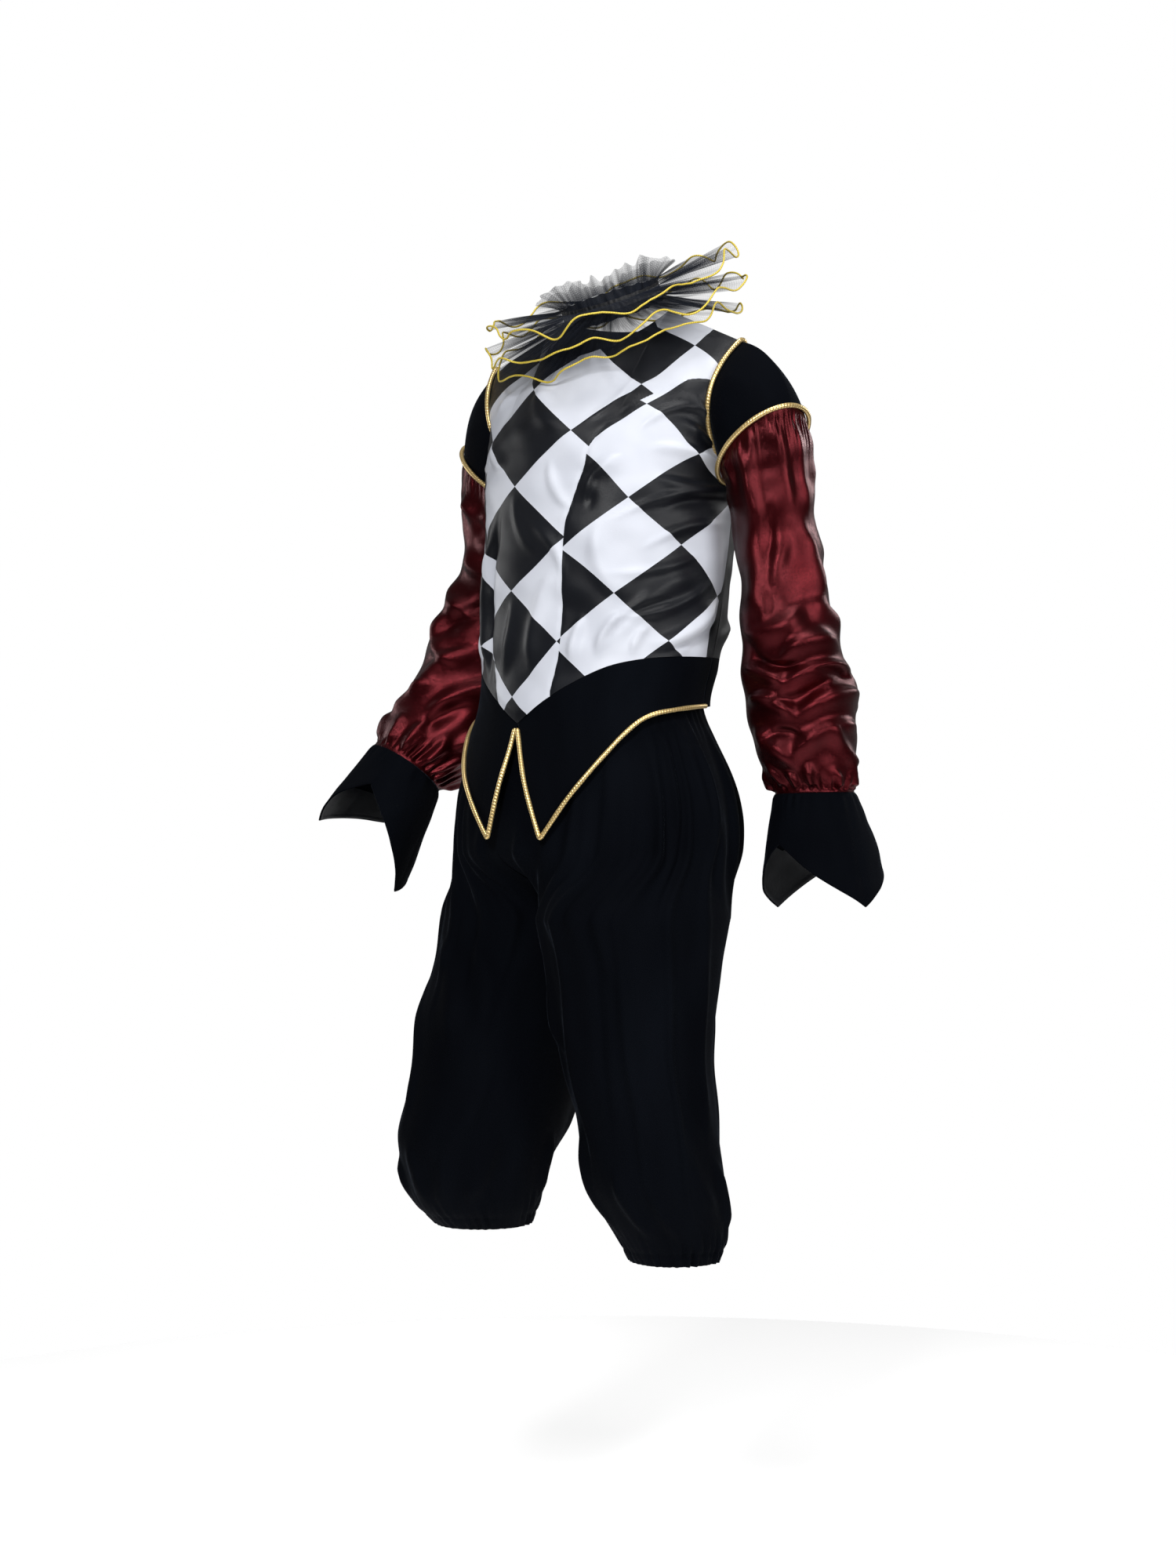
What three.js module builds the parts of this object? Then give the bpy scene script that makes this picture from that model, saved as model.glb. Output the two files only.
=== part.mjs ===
// Jester costume: diamond-front satin top, pointed velvet basque, gathered velvet breeches and a net ruff.
// Millimetres, +Z up. The wearer's front faces -Y and the wearer's left is +X.
// The origin is the middle of the neck's base, where the shoulders carry the top.

import * as THREE from 'three';

// Cloth and trim
const SATIN = 1.4;
const VELVET = 1.8;
const NET = 1.0;
const SEAM_GAP = 0.3;
const PIPING_RADIUS = 3.0;
const CORD_RADIUS = 1.7;
const PIPING_SIDES = 5;
const CORD_SIDES = 4;

// Levels of the top, from the origin down
const ARMPIT_Z = -205;
const SHOULDER_TURN = 13;
const SIDE_SEAM_ANGLE = 108;

// How finely the cloth is divided
const ARMHOLE_STEPS = 10;
const LOWER_ROWS = 7;
const RING_STEPS = 2 * ARMHOLE_STEPS;
const CAP_ROWS = 3;
const CUFF_ROWS = 4;
const LEG_COLUMNS = 28;
const RUFF_STEPS = 60;

const vec = (x, y, z) => new THREE.Vector3(x, y, z);
const rad = THREE.MathUtils.degToRad;
const lerp = THREE.MathUtils.lerp;
const clamp = THREE.MathUtils.clamp;
const smooth = THREE.MathUtils.smoothstep;
const UP = vec(0, 0, 1);
const turned = (point, degrees) => point.applyAxisAngle(UP, rad(degrees));

// A table as a smooth curve: rows of named columns, first column falling or rising.
function curveOf(columns, rows) {
  const keys = rows.map((row) => row[0]);
  const falling = keys[0] > keys[keys.length - 1];
  return (key) => {
    let i = 0;
    while (i < keys.length - 2 && (falling ? key < keys[i + 1] : key > keys[i + 1])) {
      i += 1;
    }
    const t = clamp((key - keys[i]) / (keys[i + 1] - keys[i]), 0, 1);
    const result = {};
    columns.forEach((name, c) => {
      const [a, b] = [rows[i][c], rows[i + 1][c]];
      const before = i > 0 ? rows[i - 1] : null;
      const after = i + 2 < rows.length ? rows[i + 2] : null;
      const span = keys[i + 1] - keys[i];
      const slopeA = before ? ((b - before[c]) / (keys[i + 1] - before[0])) * span : b - a;
      const slopeB = after ? ((after[c] - a) / (after[0] - keys[i])) * span : b - a;
      const t2 = t * t;
      const t3 = t2 * t;
      result[name] =
        (2 * t3 - 3 * t2 + 1) * a + (t3 - 2 * t2 + t) * slopeA + (3 * t2 - 2 * t3) * b + (t3 - t2) * slopeB;
    });
    return result;
  };
}

// Outward normals of a grid of points; rows run down and columns run round.
function normalsOf(grid, closed, inward) {
  const count = grid[0].length;
  return grid.map((row, j) =>
    row.map((_, i) => {
      const left = closed ? (i + count - 1) % count : Math.max(i - 1, 0);
      const right = closed ? (i + 1) % count : Math.min(i + 1, count - 1);
      const above = Math.max(j - 1, 0);
      const below = Math.min(j + 1, grid.length - 1);
      const across = row[right].clone().sub(row[left]);
      const down = grid[below][i].clone().sub(grid[above][i]);
      return across.cross(down).normalize().multiplyScalar(inward ? -1 : 1);
    }),
  );
}

// One closed wall of cloth. The grid is its outer face, and the inner face lies a thickness further in.
function wall(grid, { thickness, closed = false, inward = false, lift = 0, mitre = null }) {
  const normals = normalsOf(grid, closed, inward);
  if (mitre) {
    normals.forEach((row, j) => row.forEach((n, i) => mitre(n, i, j, grid[j][i])));
  }
  const rows = grid.length;
  const count = grid[0].length;
  const positions = [];
  for (const depth of [lift, lift - thickness]) {
    grid.forEach((row, j) =>
      row.forEach((point, i) => {
        const p = point.clone().addScaledVector(normals[j][i], depth);
        positions.push(p.x, p.y, p.z);
      }),
    );
  }
  const outer = (j, i) => j * count + (i % count);
  const inner = (j, i) => rows * count + outer(j, i);
  const faces = [];
  const quad = (a, b, c, d) => faces.push(a, b, c, a, c, d);
  const across = closed ? count : count - 1;
  for (let j = 0; j < rows - 1; j += 1) {
    for (let i = 0; i < across; i += 1) {
      quad(outer(j, i), outer(j, i + 1), outer(j + 1, i + 1), outer(j + 1, i));
      quad(inner(j, i), inner(j + 1, i), inner(j + 1, i + 1), inner(j, i + 1));
    }
  }
  for (let i = 0; i < across; i += 1) {
    quad(outer(0, i), inner(0, i), inner(0, i + 1), outer(0, i + 1));
    quad(outer(rows - 1, i), outer(rows - 1, i + 1), inner(rows - 1, i + 1), inner(rows - 1, i));
  }
  if (!closed) {
    for (let j = 0; j < rows - 1; j += 1) {
      quad(outer(j, 0), outer(j + 1, 0), inner(j + 1, 0), inner(j, 0));
      quad(outer(j, count - 1), inner(j, count - 1), inner(j + 1, count - 1), outer(j + 1, count - 1));
    }
  }
  return solid(positions, faces);
}

// A closed body from its points and triangles, turned so that its faces point out.
function solid(positions, faces) {
  let volume = 0;
  const corner = (index) => vec(positions[3 * index], positions[3 * index + 1], positions[3 * index + 2]);
  for (let f = 0; f < faces.length; f += 3) {
    volume += corner(faces[f]).dot(corner(faces[f + 1]).cross(corner(faces[f + 2])));
  }
  if (volume < 0) {
    faces.reverse();
  }
  const geometry = new THREE.BufferGeometry();
  geometry.setAttribute('position', new THREE.Float32BufferAttribute(positions, 3));
  geometry.setIndex(faces);
  geometry.computeVertexNormals();
  return geometry;
}

// A round cord or piping along points, as a loop or with flat ends.
function cord(points, { radius, sides, closed = false }) {
  const count = points.length;
  const positions = [];
  let side = null;
  const rings = points.map((point, i) => {
    const before = points[closed ? (i + count - 1) % count : Math.max(i - 1, 0)];
    const after = points[closed ? (i + 1) % count : Math.min(i + 1, count - 1)];
    const along = after.clone().sub(before).normalize();
    const start = side ?? (Math.abs(along.z) < 0.8 ? UP : vec(0, 1, 0));
    side = start.clone().addScaledVector(along, -start.dot(along)).normalize();
    return { point, side: side.clone(), across: along.clone().cross(side) };
  });
  for (const ring of rings) {
    for (let s = 0; s < sides; s += 1) {
      const angle = (2 * Math.PI * s) / sides;
      const p = ring.point
        .clone()
        .addScaledVector(ring.side, radius * Math.cos(angle))
        .addScaledVector(ring.across, radius * Math.sin(angle));
      positions.push(p.x, p.y, p.z);
    }
  }
  const at = (i, s) => (i % count) * sides + (s % sides);
  // A loop's last ring meets the first with the least twist.
  let shift = 0;
  if (closed) {
    const last = rings[count - 1];
    const angle = Math.atan2(rings[0].side.dot(last.across), rings[0].side.dot(last.side));
    shift = (Math.round((-angle * sides) / (2 * Math.PI)) + sides) % sides;
  }
  const faces = [];
  for (let i = 0; i < (closed ? count : count - 1); i += 1) {
    const turn = i === count - 1 ? shift : 0;
    for (let s = 0; s < sides; s += 1) {
      faces.push(at(i, s), at(i, s + 1), at(i + 1, s + 1 + turn));
      faces.push(at(i, s), at(i + 1, s + 1 + turn), at(i + 1, s + turn));
    }
  }
  if (!closed) {
    for (let s = 1; s < sides - 1; s += 1) {
      faces.push(at(0, 0), at(0, s + 1), at(0, s));
      faces.push(at(count - 1, 0), at(count - 1, s), at(count - 1, s + 1));
    }
  }
  return solid(positions, faces);
}

const grid = (rows, columns, pointAt) =>
  Array.from({ length: rows + 1 }, (_, j) =>
    Array.from({ length: columns + 1 }, (_, i) => pointAt(i / columns, j / rows, i, j)),
  );
const ringGrid = (rows, steps, pointAt) =>
  Array.from({ length: rows + 1 }, (_, j) =>
    Array.from({ length: steps }, (_, i) => pointAt(i, j / rows, j)),
  );
const between = (a, b, c, t) =>
  a
    .clone()
    .multiplyScalar((1 - t) * (1 - t))
    .addScaledVector(b, 2 * t * (1 - t))
    .addScaledVector(c, t * t);

// The torso's cut: half width, depth to the front and back of a middle line, and turn, by level.
const torso = curveOf(['z', 'halfWidth', 'front', 'back', 'middleY', 'turn'], [
  [-205, 168, 148, 145, 0, 10],
  [-290, 167, 149, 142, -5, 8],
  [-380, 163, 143, 136, -13, 6],
  [-424, 161, 138, 131, -19, 5],
  [-480, 158, 132, 126, -31, 6],
  [-520, 174, 141, 136, -29, 8],
  [-580, 198, 162, 152, -26, 11],
  [-650, 210, 174, 160, -25, 14],
]);

// A point of the torso: angle 0 is the front and 90 the wearer's left.
function torsoPoint(angle, z, section = torso, out = 0) {
  const s = section(z);
  const depth = Math.abs(angle) < 90 ? s.front : s.back;
  const x = (s.halfWidth + out) * Math.sin(rad(angle));
  const y = s.middleY - (depth + out) * Math.cos(rad(angle));
  return turned(vec(x, y, z), s.turn);
}

// Neckline and shoulder seam: share of the way from the middle to the shoulder's tip, for front and back.
const NECK_SIDE = vec(78, 14, 12);
const SHOULDER_TIP = vec(193, 8, -38);
const panels = {
  front: { neck: vec(0, -84, -50), neckShare: 0.4, columns: 20 },
  back: { neck: vec(0, 70, 2), neckShare: 3 / 7, columns: 14 },
};

function topEdge(share, side, { neck: middle, neckShare }) {
  let point;
  if (share < neckShare) {
    const angle = rad((90 * share) / neckShare);
    point = vec(
      NECK_SIDE.x * Math.sin(angle),
      lerp(NECK_SIDE.y, middle.y, Math.cos(angle)),
      lerp(NECK_SIDE.z, middle.z, Math.cos(angle)),
    );
  } else {
    point = NECK_SIDE.clone().lerp(SHOULDER_TIP, (share - neckShare) / (1 - neckShare));
  }
  point.x *= side;
  return point;
}

// How far the chest and the shoulder blades stand out between the shoulder seam and the armpit.
const chests = {
  front: { edge: vec(166, -84, -118), middle: vec(0, -140, -118) },
  back: { edge: vec(172, 104, -118), middle: vec(0, 134, -100) },
};
const CHEST_ANGLE = 75;

function chestPoint(share, side, chest) {
  const angle = rad(CHEST_ANGLE * share);
  const last = rad(CHEST_ANGLE);
  const inward = (Math.cos(angle) - Math.cos(last)) / (1 - Math.cos(last));
  return vec(
    (side * chest.edge.x * Math.sin(angle)) / Math.sin(last),
    lerp(chest.edge.y, chest.middle.y, inward),
    lerp(chest.edge.z, chest.middle.z, inward),
  );
}

// The seam between the bodice and the basque: a point at the middle front, level at the sides and back.
const basqueTop = curveOf(['angle', 'z'], [
  [0, -503],
  [17, -472],
  [36, -445],
  [49, -432],
  [70, -424],
  [108, -422],
  [180, -422],
]);

// Half of the top's cloth, front or back. Across runs -1 to 1 from the wearer's right to the left.
function bodicePoint(which, across, down) {
  const side = across < 0 ? -1 : 1;
  const share = Math.abs(across);
  const front = which === 'front';
  const seam = front ? SIDE_SEAM_ANGLE : 180 - SIDE_SEAM_ANGLE;
  const angle = front ? across * seam : side * 180 - across * seam;
  if (down >= 1) {
    const bottom = basqueTop(Math.abs(angle)).z + SEAM_GAP;
    return torsoPoint(angle, lerp(ARMPIT_Z, bottom, down - 1));
  }
  const top = turned(topEdge(share, side, panels[which]), SHOULDER_TURN);
  const chest = turned(chestPoint(share, side, chests[which]), SHOULDER_TURN);
  return between(top, chest, torsoPoint(angle, ARMPIT_Z), down);
}

// Rows run from the neck to the armpit in the armhole's steps, then on down to the basque.
const bodiceDown = (j) => (j <= ARMHOLE_STEPS ? j / ARMHOLE_STEPS : 1 + (j - ARMHOLE_STEPS) / LOWER_ROWS);

// The seam direction that both pieces share where they meet, so that their inner faces stay apart.
function bodiceMitre(which) {
  const { columns, neckShare } = panels[which];
  return (n, i, j, point) => {
    const across = (2 * i) / columns - 1;
    const atSide = i === 0 || i === columns;
    if (atSide && j <= ARMHOLE_STEPS) {
      const k = which === 'front' ? j : (RING_STEPS - j) % RING_STEPS;
      n.copy(armholeSeams[i === 0 ? 'right' : 'left'][k].mitre);
    } else if (atSide) {
      n.copy(point).setZ(0).normalize();
    } else if (j === 0 && Math.abs(across) > neckShare - 0.01) {
      n.copy(turned(vec(0.25 * Math.sign(across), 0, 1), SHOULDER_TURN)).normalize();
    }
  };
}

// The armhole's edge as a ring: from the shoulder's tip down the front and up the back.
function armhole(side) {
  return Array.from({ length: RING_STEPS }, (_, k) => {
    const front = k <= ARMHOLE_STEPS;
    const down = front ? k / ARMHOLE_STEPS : (RING_STEPS - k) / ARMHOLE_STEPS;
    return bodicePoint(front ? 'front' : 'back', side, down);
  });
}

function bodice(which) {
  const { columns, neckShare } = panels[which];
  const points = grid(ARMHOLE_STEPS + LOWER_ROWS, columns, (u, v, i, j) => {
    const point = bodicePoint(which, 2 * u - 1, bodiceDown(j));
    // Half a seam's gap is taken off the edges that meet the other panel.
    const step = (which === 'front' ? -1 : 1) * (SEAM_GAP / 2);
    const shoulder = j === 0 && Math.abs(2 * u - 1) > neckShare - 0.01;
    const sideSeam = (i === 0 || i === columns) && j >= ARMHOLE_STEPS;
    if (shoulder || sideSeam) {
      point.y += step;
    }
    return point;
  });
  return wall(points, { thickness: SATIN, mitre: bodiceMitre(which), inward: which === 'front' });
}

// The arms: sleeve rings from the cap's hem to the wrist's gathers. Tilt raises the ring's outer side
// and pitch its front. The left arm hangs; the right forearm comes forward.
const arms = {
  left: {
    name: 'left',
    side: 1,
    ring: curveOf(['step', 'x', 'y', 'z', 'radius', 'tilt', 'pitch'], [
      [0, 220, 55, -168, 52, 38, 0],
      [1, 221, 65, -214, 51, 16, 0],
      [2, 226, 76, -291, 51, 6, 0],
      [3, 234, 80, -368, 57, 4, 0],
      [4, 241, 88, -428, 66, 3, 0],
      [5, 246, 93, -462, 69, 3, 0],
      [6, 252, 94, -510, 67, 3, 0],
      [7, 258, 97, -560, 57, 2, 0],
      [8, 262, 101, -587, 46, 2, 0],
    ]),
    cuff: { turn: 0, point: 137, notch: 60, outer: 84, front: 62, inner: 72, back: 78, folded: 0 },
  },
  right: {
    name: 'right',
    side: -1,
    ring: curveOf(['step', 'x', 'y', 'z', 'radius', 'tilt', 'pitch'], [
      [0, -229, 7, -168, 55, 38, 0],
      [1, -229, 10, -212, 55, 16, 0],
      [2, -232, 10, -282, 58, 6, 2],
      [3, -243, 4, -334, 63, 6, 8],
      [4, -254, -12, -388, 69, 6, 14],
      [5, -264, -25, -446, 74, 7, 22],
      [6, -274, -50, -498, 73, 8, 30],
      [7, -283, -82, -533, 64, 9, 37],
      [8, -290, -112, -556, 48, 10, 37],
    ]),
    cuff: { turn: 36, point: 148, notch: 62, outer: 52, front: 56, inner: 84, back: 84, folded: 0.2 },
  },
};
const LAST_RING = 8;
const SLEEVE_ROWS = 13;

// A ring's frame: its middle, the way to its outer side, to its back, and down the arm.
function armFrame(arm, step) {
  const r = arm.ring(step);
  const outer = vec(arm.side * Math.cos(rad(r.tilt)), 0, Math.sin(rad(r.tilt)));
  const back = vec(0, Math.cos(rad(r.pitch)), -Math.sin(rad(r.pitch)));
  const down = outer.clone().cross(back).multiplyScalar(-arm.side).normalize();
  const squeeze = Math.cos(rad(r.tilt));
  return { centre: vec(r.x, r.y, r.z), radius: r.radius, squeeze, outer, back, down };
}

// A point round a ring: step 0 is the outer side, a quarter of the steps the front.
function aroundArm(frame, k, radius, along = 0) {
  const angle = (2 * Math.PI * k) / RING_STEPS;
  return frame.centre
    .clone()
    .addScaledVector(frame.outer, (radius / frame.squeeze) * Math.cos(angle))
    .addScaledVector(frame.back, -radius * Math.sin(angle))
    .addScaledVector(frame.down, along);
}

// Square to a cloth that runs along one way and into another, on the side that faces away.
function clothNormal(along, into, away) {
  const n = along.clone().cross(into).normalize();
  return n.dot(away) < 0 ? n.negate() : n;
}

// Where two cloths meet both share one direction, and trim on the seam stands off along it.
function seamAt(point, normalA, normalB) {
  const mitre = normalA.clone().add(normalB).normalize();
  return { point, mitre, reach: 1 / Math.max(0.5, mitre.dot(normalA)) };
}

const neighbours = (ring, k) => {
  const count = ring.length;
  return ring[(k + 1) % count].clone().sub(ring[(k + count - 1) % count]);
};

// Keeps the sleeve's inner side just clear of the torso.
const ARM_CLEARANCE = 2.5;

function clearOfTorso(point, side) {
  if (point.z > ARMPIT_Z) {
    return point;
  }
  const s = torso(point.z);
  turned(point, -s.turn);
  const depth = (point.y < s.middleY ? s.front : s.back) + ARM_CLEARANCE;
  const share = clamp((point.y - s.middleY) / depth, -1, 1);
  const limit = (s.halfWidth + ARM_CLEARANCE) * Math.sqrt(1 - share * share);
  point.x = side * Math.max(side * point.x, limit);
  return turned(point, s.turn);
}

const radialMitre = (frame) => (n, point) => {
  n.copy(point).sub(frame.centre);
  n.addScaledVector(frame.down, -n.dot(frame.down)).normalize();
};

// The shoulder cap: from the armhole to a hem round the upper arm, widest at the top.
const CAP_BULGE = 18;
const CAP_RISE = 0.4;
const ARMHOLE_GAP = 0.5;
const FOLD_FIRST = 8;
const FOLD_LAST = 10;
const FOLD_CLEARANCE = 0.7;

function capPoint(arm, k, down) {
  const frame = armFrame(arm, 0);
  const from = armhole(arm.side)[k];
  const hem = aroundArm(frame, k, frame.radius, -SEAM_GAP / 2);
  from.addScaledVector(hem.clone().sub(from).normalize(), ARMHOLE_GAP);
  // Under the arm the cap lies close along the bodice, so it stands off a little more.
  if (k >= FOLD_FIRST && k <= FOLD_LAST) {
    from.x += arm.side * FOLD_CLEARANCE;
  }
  const radial = aroundArm(frame, k, 1).sub(frame.centre);
  const swell = CAP_BULGE * Math.max(0, 0.25 + Math.cos((2 * Math.PI * k) / RING_STEPS));
  const control = from.clone().add(hem).multiplyScalar(0.5).addScaledVector(radial, swell);
  control.z += swell * CAP_RISE;
  return between(from, control, hem, down);
}

// Evens out the shared directions along a seam.
function evened(seam) {
  return seam.map((here, k) => {
    const next = seam[(k + 1) % RING_STEPS];
    const last = seam[(k + RING_STEPS - 1) % RING_STEPS];
    const mitre = here.mitre.clone().multiplyScalar(2).add(next.mitre).add(last.mitre).normalize();
    return { ...here, mitre };
  });
}

const aroundRing = (pointAt) => Array.from({ length: RING_STEPS }, (_, k) => pointAt(k));

// The armhole's seam, between the bodice and the cap.
function armholeSeam(arm) {
  const ring = armhole(arm.side);
  const frame = armFrame(arm, 0);
  const chestMiddle = vec(0, 0, -160);
  const seam = ring.map((point, k) => {
    const front = k <= ARMHOLE_STEPS;
    const down = front ? k / ARMHOLE_STEPS : (RING_STEPS - k) / ARMHOLE_STEPS;
    const along = neighbours(ring, k);
    const near = (share, level) => bodicePoint(front ? 'front' : 'back', arm.side * share, level);
    const into = near(0.9, down).sub(near(0.99, down));
    const drop = near(0.97, down + 0.06).sub(near(0.97, Math.max(down - 0.06, 0)));
    const over = capPoint(arm, k, 0.15).sub(capPoint(arm, k, 0));
    const radial = aroundArm(frame, k, 1).sub(frame.centre);
    const body = clothNormal(drop, into, point.clone().sub(chestMiddle));
    return seamAt(point, body, clothNormal(along, over, radial));
  });
  return evened(seam);
}

// The cap's hem, between the cap and the sleeve.
function capSeam(arm) {
  const frame = armFrame(arm, 0);
  const ring = aroundRing((k) => aroundArm(frame, k, frame.radius));
  return ring.map((point, k) => {
    const radial = aroundArm(frame, k, 1).sub(frame.centre);
    const along = neighbours(ring, k);
    const into = capPoint(arm, k, 0.8).sub(capPoint(arm, k, 1));
    const down = sleevePoint(arm, k, 1.5 / SLEEVE_ROWS, 1).sub(point);
    return seamAt(point, clothNormal(along, into, radial), clothNormal(along, down, radial));
  });
}

function cap(arm) {
  const rows = ringGrid(CAP_ROWS, RING_STEPS, (k, v) => capPoint(arm, k, v));
  return wall(rows, {
    thickness: VELVET,
    closed: true,
    inward: arm.side < 0,
    mitre: (n, i, j) => {
      if (j === 0) {
        n.copy(armholeSeams[arm.name][i].mitre);
      } else if (j === CAP_ROWS) {
        n.copy(capSeams[arm.name][i].mitre);
      }
    },
  });
}

// The full sleeve, with long slanting folds and a gathered wrist.
const SLEEVE_FOLD = 0.045;
const WRIST_GATHER = 0.035;

function sleevePoint(arm, k, v, j) {
  const frame = armFrame(arm, LAST_RING * v);
  const angle = (2 * Math.PI * k) / RING_STEPS;
  const open = smooth(v, 0, 0.3) * (1 - smooth(v, 0.75, 1));
  const fold = SLEEVE_FOLD * open * Math.sin(3 * angle + 11 * v + Math.sin(5 * v));
  const gather = j >= SLEEVE_ROWS - 1 ? WRIST_GATHER * (k % 2 ? 1 : -1) : 0;
  const point = aroundArm(frame, k, frame.radius * (1 + fold + gather), j === 0 ? SEAM_GAP / 2 : 0);
  return clearOfTorso(point, arm.side);
}

function sleeve(arm) {
  const rows = ringGrid(SLEEVE_ROWS, RING_STEPS, (k, v, j) => sleevePoint(arm, k, v, j));
  const atWrist = radialMitre(armFrame(arm, LAST_RING));
  return wall(rows, {
    thickness: SATIN,
    closed: true,
    inward: arm.side < 0,
    mitre: (n, i, j, point) => {
      if (j === 0) {
        n.copy(capSeams[arm.name][i].mitre);
      } else if (j === SLEEVE_ROWS) {
        atWrist(n, point);
      }
    },
  });
}

// The gauntlet cuff: a flared piece with two points and two notches, faced with satin where it opens.
const FACING_FROM = 0.5;
const CUFF_STEP = 2;
const CUFF_FLARE = 0.8;

function cuffPoint(arm, k, share) {
  const frame = armFrame(arm, LAST_RING);
  const { turn, point, notch, outer, front, inner, back } = arm.cuff;
  const angle = (360 * k) / RING_STEPS - turn;
  const toPoint = Math.abs((((angle % 180) + 180) % 180) - 90) / 90;
  const folded = 1 - (arm.cuff.folded * (1 + Math.cos(rad(angle)))) / 2;
  const length = lerp(notch, point, toPoint) * folded;
  const across = Math.cos((2 * Math.PI * k) / RING_STEPS);
  const forward = Math.sin((2 * Math.PI * k) / RING_STEPS);
  const aside = across ** 2 * (across > 0 ? outer : inner);
  const mouth = aside + forward ** 2 * (forward > 0 ? front : back);
  const radius = lerp(frame.radius + CUFF_STEP, mouth, share ** CUFF_FLARE);
  return aroundArm(frame, k, radius, SEAM_GAP + share * length);
}

function cuff(arm) {
  const rows = ringGrid(CUFF_ROWS, RING_STEPS, (k, v) => cuffPoint(arm, k, v));
  const atWrist = radialMitre(armFrame(arm, LAST_RING));
  return wall(rows, {
    thickness: VELVET,
    closed: true,
    inward: arm.side < 0,
    mitre: (n, i, j, point) => j === 0 && atWrist(n, point),
  });
}

function cuffFacing(arm) {
  const rows = ringGrid(2, RING_STEPS, (k, v) => cuffPoint(arm, k, lerp(FACING_FROM, 1, v)));
  const settings = { closed: true, inward: arm.side < 0 };
  return wall(rows, { ...settings, thickness: NET, lift: -(VELVET + SEAM_GAP) });
}

// The basque's lower edge: from each hanging point up to the side, and level round the back.
const basqueHem = curveOf(['angle', 'z'], [
  [11, -642],
  [22, -595],
  [31, -564],
  [39, -541],
  [49, -517],
  [61, -498],
  [74, -489],
  [108, -481],
  [180, -481],
]);
const BASQUE_COLUMNS = 12;
const BASQUE_ROWS = 5;
const BASQUE_BACK_COLUMNS = 12;
const SPLIT_ANGLE = 0.2;
const SEAM_ANGLE = 0.06;
const HEM_SPREAD = 1.15;

// One front flap, split from the other below the middle, where both points hang free.
const POINT_ANGLE = 11;

function flapPoint(side, u, v) {
  const seam = SIDE_SEAM_ANGLE - SEAM_ANGLE;
  const topAngle = lerp(SPLIT_ANGLE, seam, u);
  const hemAngle = lerp(POINT_ANGLE, seam, Math.pow(u, HEM_SPREAD));
  const hemZ = basqueHem(hemAngle).z;
  const top = basqueTop(topAngle).z - SEAM_GAP;
  const angle = lerp(topAngle, hemAngle, v);
  return torsoPoint(side * angle, lerp(top, hemZ, v));
}

const outwardOnly = (n) => n.setZ(0).normalize();

function flap(side) {
  const rows = grid(BASQUE_ROWS, BASQUE_COLUMNS, (u, v) => flapPoint(side, u, v));
  const mitre = (n, i, j, point) => {
    if (i === BASQUE_COLUMNS) {
      n.copy(point).setZ(0).normalize();
    } else if (j === 0) {
      outwardOnly(n);
    }
  };
  return wall(rows, { thickness: VELVET, inward: side > 0, mitre });
}

function basqueBack() {
  const from = SIDE_SEAM_ANGLE + SEAM_ANGLE;
  const rows = grid(BASQUE_ROWS, BASQUE_BACK_COLUMNS, (u, v) => {
    const angle = lerp(from, 360 - from, u);
    const facing = angle > 180 ? 360 - angle : angle;
    return torsoPoint(angle, lerp(basqueTop(facing).z - SEAM_GAP, basqueHem(facing).z, v));
  });
  const mitre = (n, i, j, point) => {
    if (i === 0 || i === BASQUE_BACK_COLUMNS) {
      n.copy(point).setZ(0).normalize();
    } else if (j === 0) {
      outwardOnly(n);
    }
  };
  return wall(rows, { thickness: VELVET, inward: true, mitre });
}

// The breeches over the hips, inside the basque, and the rings of each leg below the fork.
const hips = curveOf(['z', 'halfWidth', 'front', 'back', 'middleY', 'turn'], [
  [-440, 150, 126, 119, -22, 5],
  [-480, 149, 124, 118, -31, 6],
  [-520, 163, 130, 128, -29, 6],
  [-580, 185, 147, 146, -26, 5],
  [-625, 193, 155, 155, -24, 3],
  [-690, 194, 157, 156, -26, 0],
  [-740, 194, 158, 148, -34, 0],
]);
const HIP_LEVELS = [-440, -462, -486, -515, -555, -600, -650, -695, -722, -745];
const legs = {
  left: {
    side: 1,
    ring: curveOf(['z', 'x', 'y', 'halfWidth', 'halfDepth'], [
      [-740, 97.5, -43, 97, 127],
      [-790, 97, -41, 95, 113],
      [-852, 98, -42, 92, 102],
      [-912, 100, -40, 88, 93],
      [-972, 102, -30, 85, 88],
      [-1020, 104, -25, 83, 86],
      [-1065, 106, -19, 82, 84],
      [-1100, 107, -7, 76, 77],
      [-1132, 108, 5, 67, 68],
      [-1160, 108, 10, 55, 56],
    ]),
    rows: [...HIP_LEVELS, -800, -870, -940, -1010, -1071, -1108, -1138, -1160],
  },
  right: {
    side: -1,
    ring: curveOf(['z', 'x', 'y', 'halfWidth', 'halfDepth'], [
      [-740, 97.5, -50, 97, 120],
      [-790, 98, -68, 95, 110],
      [-853, 99, -91, 92, 111],
      [-913, 100, -103, 90, 112],
      [-973, 101, -115, 90, 116],
      [-1013, 102, -127, 90, 113],
      [-1062, 104, -135, 86, 92],
      [-1098, 105, -131, 78, 80],
      [-1127, 106, -120, 60, 61],
    ]),
    rows: [...HIP_LEVELS, -800, -865, -925, -985, -1040, -1074, -1102, -1127],
  },
};
const RING_FROM = -740;
const FORK_FROM = -655;
const FORK_Z = -745;
const WAIST_GATHER = 2.2;
const HIP_FOLD = 3.5;
const LEG_FOLD = 3;
const HEM_GATHER = 1.8;
const HEM_HEIGHT = 45;

// How far a level has left the hips' shape for the leg's own ring.
const forkShare = (z) => 1 - smooth(z, FORK_Z, FORK_FROM);

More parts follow.
